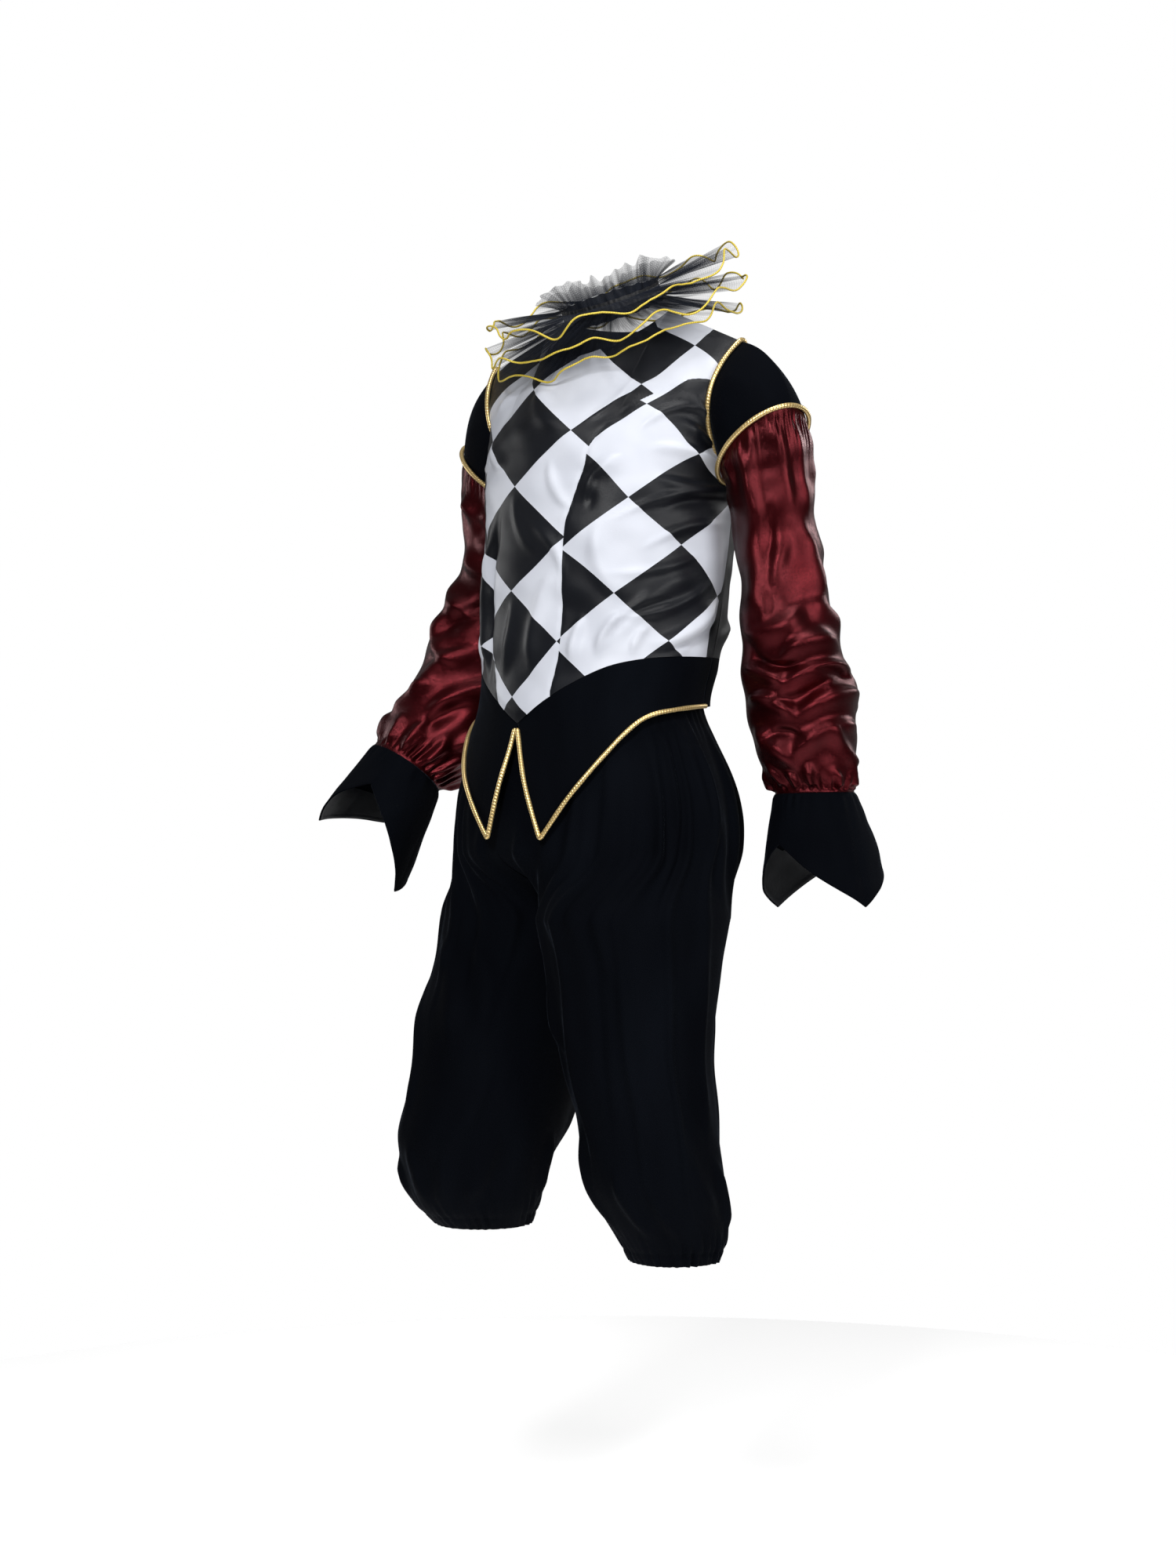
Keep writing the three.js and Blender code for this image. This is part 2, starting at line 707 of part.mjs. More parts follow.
// The hips are turned, so the middle seam is sought round them, from a first guess.
function angleAtMiddle(section, z, guess) {
  let angle = guess;
  const perDegree = rad(section(z).halfWidth) * Math.cos(rad(guess));
  for (let step = 0; step < 8; step += 1) {
    angle -= torsoPoint(angle, z, section).x / perDegree;
  }
  return angle;
}

function hipPoint(leg, u, z, out) {
  const section = () => ({ ...hips(z), turn: leg.side * hips(z).turn });
  const angle = lerp(angleAtMiddle(section, z, 0), angleAtMiddle(section, z, 180), u);
  const point = torsoPoint(angle, z, section, out);
  point.x = Math.max(point.x, SEAM_GAP / 2);
  return point;
}

function legPoint(leg, u, z, i) {
  const hemZ = leg.rows[leg.rows.length - 1];
  const share = forkShare(z);
  const edge = smooth(Math.sin(Math.PI * u), 0, 0.25);
  const wave = i % 2 ? 1 : -1;
  // Over the hips: gathers at the waist that open into soft folds.
  const waist = smooth(z, -560, -450);
  const folds = smooth(z, -700, -560) * (1 - waist);
  const out = WAIST_GATHER * waist * wave + HIP_FOLD * folds * Math.sin(9 * Math.PI * u + 0.7);
  const hip = hipPoint(leg, u, z, out * edge);
  // Below the fork: a ring from the inseam round the front, the outer side and the back.
  const ring = leg.ring(Math.min(z, RING_FROM));
  const turn = 2 * Math.PI * u;
  const low = 1 - smooth(z, hemZ, hemZ + HEM_HEIGHT);
  const swell = (LEG_FOLD * (1 - low) * Math.sin(5 * turn + z / 90) + HEM_GATHER * low * wave) * edge;
  const seam = SEAM_GAP / 2 * (i === 0 ? -1 : i === LEG_COLUMNS ? 1 : 0);
  const round = vec(
    ring.x - (ring.halfWidth + swell) * Math.cos(turn),
    ring.y - (ring.halfDepth + swell) * Math.sin(turn) + seam,
    z,
  );
  const point = hip.lerp(round, share);
  point.x *= leg.side;
  return point;
}

function legWall(leg) {
  const rows = leg.rows.map((z) =>
    Array.from({ length: LEG_COLUMNS + 1 }, (_, i) => legPoint(leg, i / LEG_COLUMNS, z, i)),
  );
  const mitre = (n, i, j) => {
    if (i === 0 || i === LEG_COLUMNS) {
      const share = forkShare(leg.rows[j]);
      n.set(-leg.side * share, (i === 0 ? -1 : 1) * (1 - share), 0).normalize();
    }
  };
  return wall(rows, { thickness: VELVET, inward: leg.side < 0, mitre });
}

// The ruff lies tilted, low at the front. Its own levels are measured from this plane.
const ruffMiddle = vec(0, 10, 3);
const RUFF_TILT = 23;
const BAND_RADIUS = 64;
const BAND_LOW = 12;
const BAND_HIGH = 36;

function ruffPoint(turn, radius, level) {
  return vec(radius * Math.sin(turn), -radius * Math.cos(turn), level)
    .applyAxisAngle(vec(1, 0, 0), rad(RUFF_TILT))
    .add(ruffMiddle);
}

function ruffBand() {
  const rows = ringGrid(1, RUFF_STEPS / 2, (i, v) =>
    ruffPoint((4 * Math.PI * i) / RUFF_STEPS, BAND_RADIUS, lerp(BAND_HIGH, BAND_LOW, v)),
  );
  return wall(rows, { thickness: SATIN, closed: true, mitre: outFromNeck });
}

const ruffAxis = vec(0, 0, 1).applyAxisAngle(vec(1, 0, 0), rad(RUFF_TILT));
function outFromNeck(n, i, j, point) {
  n.copy(point).sub(ruffMiddle);
  n.addScaledVector(ruffAxis, -n.dot(ruffAxis)).normalize();
}

// Each tier of net: levels at the band and the edge, reach, and its big floppy waves.
const tiers = {
  upper: {
    ...{ from: 32, edge: 30, reach: 160, waves: 10, height: 13, phase: 0.4 },
    ...{ backDrop: 0, sideLift: 0, rightLift: 0 },
  },
  middle: {
    ...{ from: 24, edge: 2, reach: 166, waves: 11, height: 9, phase: 2.1 },
    ...{ backDrop: 0, sideLift: 4, rightLift: 12 },
  },
  lower: {
    ...{ from: 17, edge: -22, reach: 158, waves: 9, height: 8, phase: 4.0 },
    ...{ backDrop: 10, sideLift: 12, rightLift: 16 },
  },
};
const TIER_ROWS = 3;
const TIER_SEAM = 0.8;
const TIER_FALL = 0.9;

function tierPoint(tier, turn, share) {
  const wobble = tier.waves * turn + 0.8 * Math.sin(2 * turn + tier.phase) + tier.phase;
  const uneven = 0.7 + 0.3 * Math.sin(3 * turn + 2 * tier.phase);
  const reach = tier.reach * (1 + 0.04 * Math.sin(3 * turn + tier.phase) + 0.02 * Math.cos(wobble));
  const radius = lerp(BAND_RADIUS + TIER_SEAM, reach, share);
  const drop = tier.backDrop * smooth(-Math.cos(turn), 0, 1);
  const aside = Math.sin(turn);
  const lift = tier.sideLift * aside ** 2 + tier.rightLift * Math.max(0, -aside) ** 2;
  const level = lerp(tier.from, tier.edge - drop + lift, share ** TIER_FALL);
  return ruffPoint(turn, radius, level + tier.height * uneven * share * Math.sin(wobble));
}

const tierRing = (tier, share) =>
  Array.from({ length: RUFF_STEPS }, (_, i) => tierPoint(tier, (2 * Math.PI * i) / RUFF_STEPS, share));

function tierWall(tier) {
  const rows = Array.from({ length: TIER_ROWS }, (_, j) => tierRing(tier, j / (TIER_ROWS - 1)));
  return wall(rows, { thickness: NET, closed: true });
}

// The cord runs along the tier's edge, moved out by its own radius.
function tierCord(tier) {
  const edge = tierRing(tier, 1);
  const clear = CORD_RADIUS + SEAM_GAP + NET / 2;
  const points = edge.map((point) => {
    const out = vec(0, 0, 0);
    outFromNeck(out, 0, 0, point);
    return point.addScaledVector(out, clear);
  });
  return cord(points, { radius: CORD_RADIUS, sides: CORD_SIDES, closed: true });
}

// A short frill of net stands round the neck above the band.
const FRILL_HEIGHT = 24;
function frill() {
  const rows = ringGrid(1, RUFF_STEPS, (i, v) => {
    const turn = (2 * Math.PI * i) / RUFF_STEPS;
    const pleat = v * (2.2 * Math.cos(15 * turn) + 2);
    const level = BAND_HIGH + SEAM_GAP + v * (FRILL_HEIGHT + 4 * Math.sin(4 * turn + 1));
    return ruffPoint(turn, BAND_RADIUS + pleat, level);
  });
  return wall(rows, { thickness: NET, closed: true, mitre: outFromNeck });
}

// Gold piping on the armholes, on the caps' hems and along the basque's pointed edge.
const PIPING_LIFT = PIPING_RADIUS + SEAM_GAP;
const CORNER_LIFT = 3;
const CURVE_LIFT = 0.9;

const offSeam = ({ point, mitre, reach }) => {
  const corner = CORNER_LIFT * Math.max(0, reach - 1.02);
  return point.clone().addScaledVector(mitre, (PIPING_LIFT + CURVE_LIFT) * reach + corner);
};

// The armhole's piping goes round to the fold under the arm, where the two cloths close on each other.
function armholePiping(seam) {
  const order = [];
  for (let k = FOLD_LAST + 1; k < FOLD_FIRST + RING_STEPS; k += 1) {
    order.push(seam[k % RING_STEPS]);
  }
  return cord(order.map(offSeam), { radius: PIPING_RADIUS, sides: PIPING_SIDES });
}

function capPiping(seam) {
  return cord(seam.map(offSeam), { radius: PIPING_RADIUS, sides: PIPING_SIDES, closed: true });
}

function flapPiping(side) {
  const steps = (count) => Array.from({ length: count }, (_, i) => (i + 1) / count);
  const front = steps(BASQUE_ROWS).map((v) => flapPoint(side, 0, v));
  const hem = steps(BASQUE_COLUMNS).map((u) => flapPoint(side, u, 1));
  const waist = vec(0, torso(ARMPIT_Z).middleY, 0);
  const points = [...front, ...hem].map((point) => {
    const out = point.clone().setZ(0).sub(waist).normalize();
    return point.addScaledVector(out, PIPING_LIFT);
  });
  return cord(points, { radius: PIPING_RADIUS, sides: PIPING_SIDES });
}

const armholeSeams = { left: armholeSeam(arms.left), right: armholeSeam(arms.right) };
const capSeams = { left: capSeam(arms.left), right: capSeam(arms.right) };

// The pieces, each with its cloth.
const cloths = {
  satin_print: { color: 0xe6e8f0, roughness: 0.35, metalness: 0 },
  satin_black: { color: 0x181a20, roughness: 0.35, metalness: 0 },
  satin_wine: { color: 0x6e1220, roughness: 0.3, metalness: 0 },
  velvet_black: { color: 0x0a0b10, roughness: 0.9, metalness: 0 },
  net_black: { color: 0x2a2d36, roughness: 0.8, metalness: 0 },
  gold_piping: { color: 0xd8b866, roughness: 0.35, metalness: 0.6 },
  gold_cord: { color: 0xe0c850, roughness: 0.5, metalness: 0.2 },
};

const costume = new THREE.Group();
function add(name, geometry, cloth) {
  const mesh = new THREE.Mesh(geometry, new THREE.MeshStandardMaterial(cloths[cloth]));
  mesh.name = name;
  costume.add(mesh);
}

add('bodice_front', bodice('front'), 'satin_print');
add('bodice_back', bodice('back'), 'satin_black');
add('basque_back', basqueBack(), 'velvet_black');
for (const [name, arm] of Object.entries(arms)) {
  add(`cap_${name}`, cap(arm), 'velvet_black');
  add(`sleeve_${name}`, sleeve(arm), 'satin_wine');
  add(`cuff_${name}`, cuff(arm), 'velvet_black');
  add(`cuff_facing_${name}`, cuffFacing(arm), 'satin_black');
  add(`piping_armhole_${name}`, armholePiping(armholeSeams[name]), 'gold_piping');
  add(`piping_cap_${name}`, capPiping(capSeams[name]), 'gold_piping');
  add(`basque_front_${name}`, flap(arm.side), 'velvet_black');
  add(`piping_basque_${name}`, flapPiping(arm.side), 'gold_piping');
  add(`leg_${name}`, legWall(legs[name]), 'velvet_black');
}
add('ruff_band', ruffBand(), 'satin_black');
add('ruff_frill', frill(), 'net_black');
for (const [name, tier] of Object.entries(tiers)) {
  add(`ruff_${name}`, tierWall(tier), 'net_black');
  add(`ruff_cord_${name}`, tierCord(tier), 'gold_cord');
}

export default costume;
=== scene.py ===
# Looks of the jester costume: each cloth is a thin shell on its solid's form, with print, folds and trim.
# Metres, in the row's frame: +Z up, -Y the costume's front, +X its left side. Tables are in millimetres.
import math

import bpy
import numpy as np
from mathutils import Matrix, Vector


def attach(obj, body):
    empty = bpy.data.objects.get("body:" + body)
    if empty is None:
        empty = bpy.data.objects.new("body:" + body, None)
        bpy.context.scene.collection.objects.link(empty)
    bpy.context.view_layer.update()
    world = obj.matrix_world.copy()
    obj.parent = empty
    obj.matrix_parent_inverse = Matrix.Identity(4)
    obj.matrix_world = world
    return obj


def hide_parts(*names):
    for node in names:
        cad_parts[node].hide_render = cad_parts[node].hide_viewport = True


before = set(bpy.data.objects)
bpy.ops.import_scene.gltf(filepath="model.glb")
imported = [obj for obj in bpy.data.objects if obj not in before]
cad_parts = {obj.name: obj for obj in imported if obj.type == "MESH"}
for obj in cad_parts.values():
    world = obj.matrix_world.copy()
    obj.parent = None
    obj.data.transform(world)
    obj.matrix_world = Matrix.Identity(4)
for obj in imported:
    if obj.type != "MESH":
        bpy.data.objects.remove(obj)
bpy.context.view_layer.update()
MM = 0.001

# Forms


def curve_of(names, rows):
    """A table as smooth curves of its first column."""
    rows = np.array(rows, float)
    keys = rows[:, 0]
    flip = -1.0 if keys[0] > keys[-1] else 1.0
    last = len(rows) - 1
    slopes = np.empty_like(rows)
    for i in range(len(rows)):
        a, b = max(i - 1, 0), min(i + 1, last)
        slopes[i] = (rows[b] - rows[a]) / (keys[b] - keys[a])

    def at(key):
        key = np.asarray(key, float)
        i = np.clip(np.searchsorted(flip * keys, flip * key, side="right") - 1, 0, last - 1)
        span = keys[i + 1] - keys[i]
        t = np.clip((key - keys[i]) / span, 0, 1)
        t2, t3 = t * t, t * t * t
        found = {}
        for c, name in enumerate(names):
            found[name] = (
                (2 * t3 - 3 * t2 + 1) * rows[i, c]
                + (t3 - 2 * t2 + t) * slopes[i, c] * span
                + (3 * t2 - 2 * t3) * rows[i + 1, c]
                + (t3 - t2) * slopes[i + 1, c] * span
            )
        return found

    return at


def smooth(x, low, high):
    t = np.clip((np.asarray(x, float) - low) / (high - low), 0, 1)
    return t * t * (3 - 2 * t)


def hump(x, at, width):
    return np.exp(-(((x - at) / width) ** 2))


def lerp(a, b, t):
    return a + (b - a) * t


def stack(x, y, z):
    x, y, z = np.broadcast_arrays(x, y, z)
    return np.stack([x, y, z], axis=-1).astype(float)


def turned(p, degrees):
    a = np.radians(degrees)
    x, y = p[..., 0], p[..., 1]
    return stack(x * np.cos(a) - y * np.sin(a), x * np.sin(a) + y * np.cos(a), p[..., 2])


def bezier(a, b, c, t):
    t = np.asarray(t, float)[..., None]
    return a * (1 - t) ** 2 + b * 2 * t * (1 - t) + c * t * t


def round_turn(count):
    """Angles evenly round a ring, in radians."""
    return np.linspace(0, 2 * math.pi, count, endpoint=False)


def unit(v):
    return v / np.maximum(np.linalg.norm(v, axis=-1, keepdims=True), 1e-9)


SEAM_GAP = 0.3
ARMPIT_Z, WAIST_Z, FORK_Z = -205, -440, -740
SHOULDER_TURN = 13
SIDE_SEAM_ANGLE = 108

SECTION = ["z", "width", "front", "back", "middle", "turn"]
torso = curve_of(SECTION, [
    [-205, 168, 148, 145, 0, 10], [-290, 167, 149, 142, -5, 8], [-380, 163, 143, 136, -13, 6],
    [-424, 161, 138, 131, -19, 5], [-480, 158, 132, 126, -31, 6], [-520, 174, 141, 136, -29, 8],
    [-580, 198, 162, 152, -26, 11], [-650, 210, 174, 160, -25, 14],
])


def torso_point(angle, z, s=None, out=0.0, turn=None):
    """A point of the torso: angle 0 is the front and 90 the left side."""
    s = torso(z) if s is None else s
    a = np.radians(angle)
    depth = np.where(np.abs(angle) < 90, s["front"], s["back"])
    x = (s["width"] + out) * np.sin(a)
    y = s["middle"] - (depth + out) * np.cos(a)
    return turned(stack(x, y, z), s["turn"] if turn is None else turn)


NECK_SIDE = (78, 14, 12)
SHOULDER_TIP = (193, 8, -38)
PANELS = {"front": ((0, -84, -50), 0.4), "back": ((0, 70, 2), 3 / 7)}
CHESTS = {"front": ((166, -84, -118), (0, -140, -118)), "back": ((172, 104, -118), (0, 134, -100))}
CHEST_ANGLE = 75


def top_edge(share, side, which):
    middle, neck = PANELS[which]
    a = np.radians(90 * np.clip(share / neck, 0, 1))
    curve = stack(
        NECK_SIDE[0] * np.sin(a),
        lerp(NECK_SIDE[1], middle[1], np.cos(a)),
        lerp(NECK_SIDE[2], middle[2], np.cos(a)),
    )
    t = np.clip((share - neck) / (1 - neck), 0, 1)[..., None]
    line = np.array(NECK_SIDE) * (1 - t) + np.array(SHOULDER_TIP) * t
    p = np.where((share < neck)[..., None], curve, line)
    p[..., 0] *= side
    return p


def chest_point(share, side, which):
    edge, middle = CHESTS[which]
    a, last = np.radians(CHEST_ANGLE * share), math.radians(CHEST_ANGLE)
    inward = (np.cos(a) - math.cos(last)) / (1 - math.cos(last))
    return stack(
        side * edge[0] * np.sin(a) / math.sin(last),
        lerp(edge[1], middle[1], inward),
        lerp(edge[2], middle[2], inward),
    )


basque_top = curve_of(["angle", "z"], [
    [0, -503], [17, -472], [36, -445], [49, -432], [70, -424], [108, -422], [180, -422],
])


def bodice_point(which, across, down):
    """The top's cloth: across runs -1 to 1, down 0 to 1 to the armpit and on to 2 at the basque."""
    across, down = np.broadcast_arrays(np.asarray(across, float), np.asarray(down, float))
    side = np.where(across < 0, -1.0, 1.0)
    share = np.abs(across)
    front = which == "front"
    seam = SIDE_SEAM_ANGLE if front else 180 - SIDE_SEAM_ANGLE
    angle = across * seam if front else side * 180 - across * seam
    bottom = basque_top(np.abs(angle))["z"] + SEAM_GAP
    low = torso_point(angle, lerp(ARMPIT_Z, bottom, np.clip(down - 1, 0, 1)))
    top = turned(top_edge(share, side, which), SHOULDER_TURN)
    chest = turned(chest_point(share, side, which), SHOULDER_TURN)
    armpit = torso_point(angle, np.full_like(angle, ARMPIT_Z))
    high = bezier(top, chest, armpit, np.clip(down, 0, 1))
    return np.where((down >= 1)[..., None], low, high)


# The arms, ring by ring from the cap's hem (0) to the wrist's gathers (WRIST).
WRIST = 8
ARM = ["step", "x", "y", "z", "radius", "tilt", "pitch"]
ARMS = {
    "left": dict(side=1, ring=curve_of(ARM, [
        [0, 220, 55, -168, 52, 38, 0], [1, 221, 65, -214, 51, 16, 0], [2, 226, 76, -291, 51, 6, 0],
        [3, 234, 80, -368, 57, 4, 0], [4, 241, 88, -428, 66, 3, 0], [5, 246, 93, -462, 69, 3, 0],
        [6, 252, 94, -510, 67, 3, 0], [7, 258, 97, -560, 57, 2, 0], [8, 262, 101, -587, 46, 2, 0],
    ]), cuff=dict(turn=0, point=137, notch=60, outer=84, front=62, inner=72, back=78, folded=0)),
    "right": dict(side=-1, ring=curve_of(ARM, [
        [0, -229, 7, -168, 55, 38, 0], [1, -229, 10, -212, 55, 16, 0], [2, -232, 10, -282, 58, 6, 2],
        [3, -243, 4, -334, 63, 6, 8], [4, -254, -12, -388, 69, 6, 14], [5, -264, -25, -446, 74, 7, 22],
        [6, -274, -50, -498, 73, 8, 30], [7, -283, -82, -533, 64, 9, 37], [8, -290, -112, -556, 48, 10, 37],
    ]), cuff=dict(turn=36, point=148, notch=62, outer=52, front=56, inner=84, back=84, folded=0.2)),
}


def arm_frame(arm, step):
    r = arm["ring"](step)
    tilt, pitch = np.radians(r["tilt"]), np.radians(r["pitch"])
    zero = np.zeros_like(tilt)
    outer = stack(arm["side"] * np.cos(tilt), zero, np.sin(tilt))
    back = stack(zero, np.cos(pitch), -np.sin(pitch))
    down = unit(np.cross(outer, back) * -arm["side"])
    return dict(centre=stack(r["x"], r["y"], r["z"]), radius=r["radius"], squeeze=np.cos(tilt),
                outer=outer, back=back, down=down)


def around_arm(f, angle, radius, along=0.0):
    """Angle 0 is the outer side and a quarter turn the front."""
    return (
        f["centre"]
        + f["outer"] * (radius / f["squeeze"] * np.cos(angle))[..., None]
        - f["back"] * (radius * np.sin(angle))[..., None]
        + f["down"] * np.asarray(along, float)[..., None]
    )


def clear_of_torso(p, side, clearance=3.2):
    z = p[..., 2]
    s = torso(z)
    q = turned(p, -s["turn"])
    depth = np.where(q[..., 1] < s["middle"], s["front"], s["back"]) + clearance
    share = np.clip((q[..., 1] - s["middle"]) / depth, -1, 1)
    limit = (s["width"] + clearance) * np.sqrt(1 - share * share)
    q[..., 0] = side * np.maximum(side * q[..., 0], limit)
    return np.where((z > ARMPIT_Z)[..., None], p, turned(q, s["turn"]))


ARMHOLE = 20  # steps round the armhole


def on_armhole(k, side, lift=0.0):
    """The armhole: k runs from 0 at the shoulder's tip down the front and up the back to ARMHOLE."""
    half = ARMHOLE / 2
    level = np.clip(np.where(k <= half, k, ARMHOLE - k) / half + lift, 0, 1.9)
    return np.where((k <= half)[..., None], bodice_point("front", side, level),
                    bodice_point("back", side, level))


def away_from_arm(f, angle):
    return around_arm(f, angle, 1) - f["centre"]


def cap_point(arm, angle, down):
    """The shoulder cap: from the armhole to a hem round the upper arm."""
    start = on_armhole((angle / (2 * math.pi) * ARMHOLE) % ARMHOLE, arm["side"])
    f = arm_frame(arm, 0)
    hem = around_arm(f, angle, f["radius"], -0.15)
    start = start + unit(hem - start) * 0.5
    swell = (18 * np.maximum(0, 0.25 + np.cos(angle)))[..., None]
    control = (start + hem) / 2 + away_from_arm(f, angle) * swell
    control[..., 2] += swell[..., 0] * 0.4
    return bezier(start, control, hem, down)


def cuff_point(arm, angle, share, swell=0.0):
    c = arm["cuff"]
    f = arm_frame(arm, WRIST)
    degrees = np.degrees(angle) - c["turn"]
    to_point = np.abs(degrees % 180 - 90) / 90
    folded = 1 - c["folded"] * (1 + np.cos(np.radians(degrees))) / 2
    length = lerp(c["notch"], c["point"], to_point) * folded
    across, forward = np.cos(angle), np.sin(angle)
    mouth = across**2 * np.where(across > 0, c["outer"], c["inner"])
    mouth = mouth + forward**2 * np.where(forward > 0, c["front"], c["back"])
    radius = lerp(f["radius"] + 2, mouth, share**0.8) + swell
    return around_arm(f, angle, radius, SEAM_GAP + share * length)


basque_hem = curve_of(["angle", "z"], [
    [11, -642], [22, -595], [31, -564], [39, -541], [49, -517], [61, -498], [74, -489], [108, -481],
    [180, -481],
])


def flap_point(side, u, v):
    top_angle = lerp(0.2, SIDE_SEAM_ANGLE - 0.06, u)
    hem_angle = lerp(11, SIDE_SEAM_ANGLE - 0.06, u**1.15)
    top, hem = basque_top(top_angle)["z"] - SEAM_GAP, basque_hem(hem_angle)["z"]
    return torso_point(side * lerp(top_angle, hem_angle, v), lerp(top, hem, v))


def basque_back_point(u, v):
    angle = lerp(SIDE_SEAM_ANGLE + 0.06, 360 - SIDE_SEAM_ANGLE - 0.06, u)
    facing = np.where(angle > 180, 360 - angle, angle)
    return torso_point(angle, lerp(basque_top(facing)["z"] - SEAM_GAP, basque_hem(facing)["z"], v))


# The breeches: hips inside the basque, then a ring for each leg below the fork.
hips = curve_of(SECTION, [
    [-440, 150, 126, 119, -22, 5], [-480, 149, 124, 118, -31, 6], [-520, 163, 130, 128, -29, 6],
    [-580, 185, 147, 146, -26, 5], [-625, 193, 155, 155, -24, 3], [-690, 194, 157, 156, -26, 0],
    [-740, 194, 158, 148, -34, 0],
])
LEG = ["z", "x", "y", "width", "depth"]
LEGS = {
    "left": dict(side=1, hem=-1160, ring=curve_of(LEG, [
        [-740, 97.5, -43, 97, 127], [-790, 97, -41, 95, 113], [-852, 98, -42, 92, 102],
        [-912, 100, -40, 88, 93], [-972, 102, -30, 85, 88], [-1020, 104, -25, 83, 86],
        [-1065, 106, -19, 82, 84], [-1100, 107, -7, 76, 77], [-1132, 108, 5, 67, 68],
        [-1160, 108, 10, 55, 56],
    ])),
    "right": dict(side=-1, hem=-1127, ring=curve_of(LEG, [
        [-740, 97.5, -50, 97, 120], [-790, 98, -68, 95, 110], [-853, 99, -91, 92, 111],
        [-913, 100, -103, 90, 112], [-973, 101, -115, 90, 116], [-1013, 102, -127, 90, 113],
        [-1062, 104, -135, 86, 92], [-1098, 105, -131, 78, 80], [-1127, 106, -120, 60, 61],
    ])),
}


def leg_point(leg, u, z, out=0.0):
    """A leg's cloth: u runs from the middle front or the inseam round the outer side to the back."""
    side = leg["side"]
    share = 1 - smooth(z, -745, -655)
    edge = smooth(np.sin(np.pi * u), 0, 0.25)
    s = hips(z)
    turn = side * s["turn"]

    def at_middle(guess):
        angle = np.full_like(z, guess)
        per_degree = np.radians(s["width"]) * math.cos(math.radians(guess))
        for _ in range(8):
            angle = angle - torso_point(angle, z, s, 0.0, turn)[..., 0] / per_degree
        return angle

    angle = lerp(at_middle(0.0), at_middle(180.0), u)
    hip = torso_point(angle, z, s, out * edge, turn)
    hip[..., 0] = np.maximum(hip[..., 0], 0.0)  # the halves meet in the seam
    ring = leg["ring"](np.minimum(z, FORK_Z))
    a = 2 * np.pi * u
    swell = out * edge
    round_it = stack(ring["x"] - (ring["width"] + swell) * np.cos(a),
                     ring["y"] - (ring["depth"] + swell) * np.sin(a), z)
    p = hip * (1 - share[..., None]) + round_it * share[..., None]
    at_seam = np.exp(-((p[..., 0] / 2.0) ** 4)) * smooth(z, -775, -745)
    p[..., 0] *= side * (1 - at_seam)  # the seam stays closed down to the fork
    return p


# The ruff's tilted plane and its tiers.
RUFF_MIDDLE = np.array([0, 10, 3.0])
RUFF_TILT = math.radians(23)
BAND_RADIUS, CORD_RADIUS = 64, 1.2
TUFT_ANGLE = 141  # the tiers' tufts stand up here and opposite
FRILL_ENDS = (318, 150)  # the frill leans outwards here


def ruff_point(turn, radius, level):
    x, y = radius * np.sin(turn), -radius * np.cos(turn)
    c, s = math.cos(RUFF_TILT), math.sin(RUFF_TILT)
    return stack(x, y * c - level * s, y * s + level * c) + RUFF_MIDDLE


# Cloth and folds


def outward(p, closed):
    """Unit normals of a grid of points, on the side away from the rows' middles."""
    if closed:
        across = np.roll(p, -1, axis=1) - np.roll(p, 1, axis=1)
    else:
        across = np.gradient(p, axis=1)
    n = unit(np.cross(across, np.gradient(p, axis=0)))
    middle = p.mean(axis=1, keepdims=True)
    away = ((p - middle) * n).sum(axis=-1)
    return n * (1.0 if away.mean() >= 0 else -1.0)


def raised(p, h, closed=False):
    return p + outward(p, closed) * h[..., None]


def lengths(p, axis):
    step = np.linalg.norm(np.diff(p, axis=axis), axis=-1)
    pad = [(1, 0), (0, 0)] if axis == 0 else [(0, 0), (1, 0)]
    return np.cumsum(np.pad(step, pad), axis=axis)


# A table of folds. Each row is one: start and end on the cloth, bow to one side, width, and height
# (a ridge) or depth (a trough, below zero), all in millimetres.
def folds(x, y, rows, around=None, wide=1.0):
    total = np.zeros(np.broadcast(x, y).shape)
    for x0, y0, x1, y1, bow, width, height in rows:
        dx, dy = x - x0, y - y0
        if around:
            dx = (dx + around / 2) % around - around / 2
        length = math.hypot(x1 - x0, y1 - y0)
        ex, ey = (x1 - x0) / length, (y1 - y0) / length
        t = (dx * ex + dy * ey) / length
        inside = np.clip(t, 0, 1)
        q = -dx * ey + dy * ex - bow * 4 * inside * (1 - inside)
        w = width * wide * (0.65 + 0.35 * np.sin(np.pi * inside))
        w = w * np.where(q > 0, 0.8, 1.25)
        window = smooth(t, -0.1, 0.3) * (1 - smooth(t, 0.7, 1.1))
        total = total + height * window * hump(q, 0, w)
    return total


def waves(p, seed, size):
    """Soft uneven waves of about that size, from about -1 to 1, at points in space."""
    r = np.random.default_rng(seed)
    total = 0.0
    for _ in range(8):
        way = unit(r.normal(size=3)) * 2 * math.pi / (size * r.uniform(0.7, 1.7))
        bend = unit(r.normal(size=3)) * 2 * math.pi / (size * 2.3)
        total = total + np.sin(p @ way + r.uniform(0, 6.28) + 1.1 * np.sin(p @ bend + r.uniform(0, 6.28)))
    return total / 2.8


def around_noise(turn, level, seed, counts, rise=1.0):
    """Uneven waves round a ring, which close on themselves."""
    r = np.random.default_rng(seed)
    total = 0.0
    for n in counts:
        a, b, lean = r.uniform(0, 2 * math.pi), r.uniform(0, 2 * math.pi), r.uniform(-rise, rise)
        total = total + (0.6 + 0.4 * np.sin(2 * turn + b)) * np.sin(n * turn + a + lean * level)
    return total / math.sqrt(len(counts))


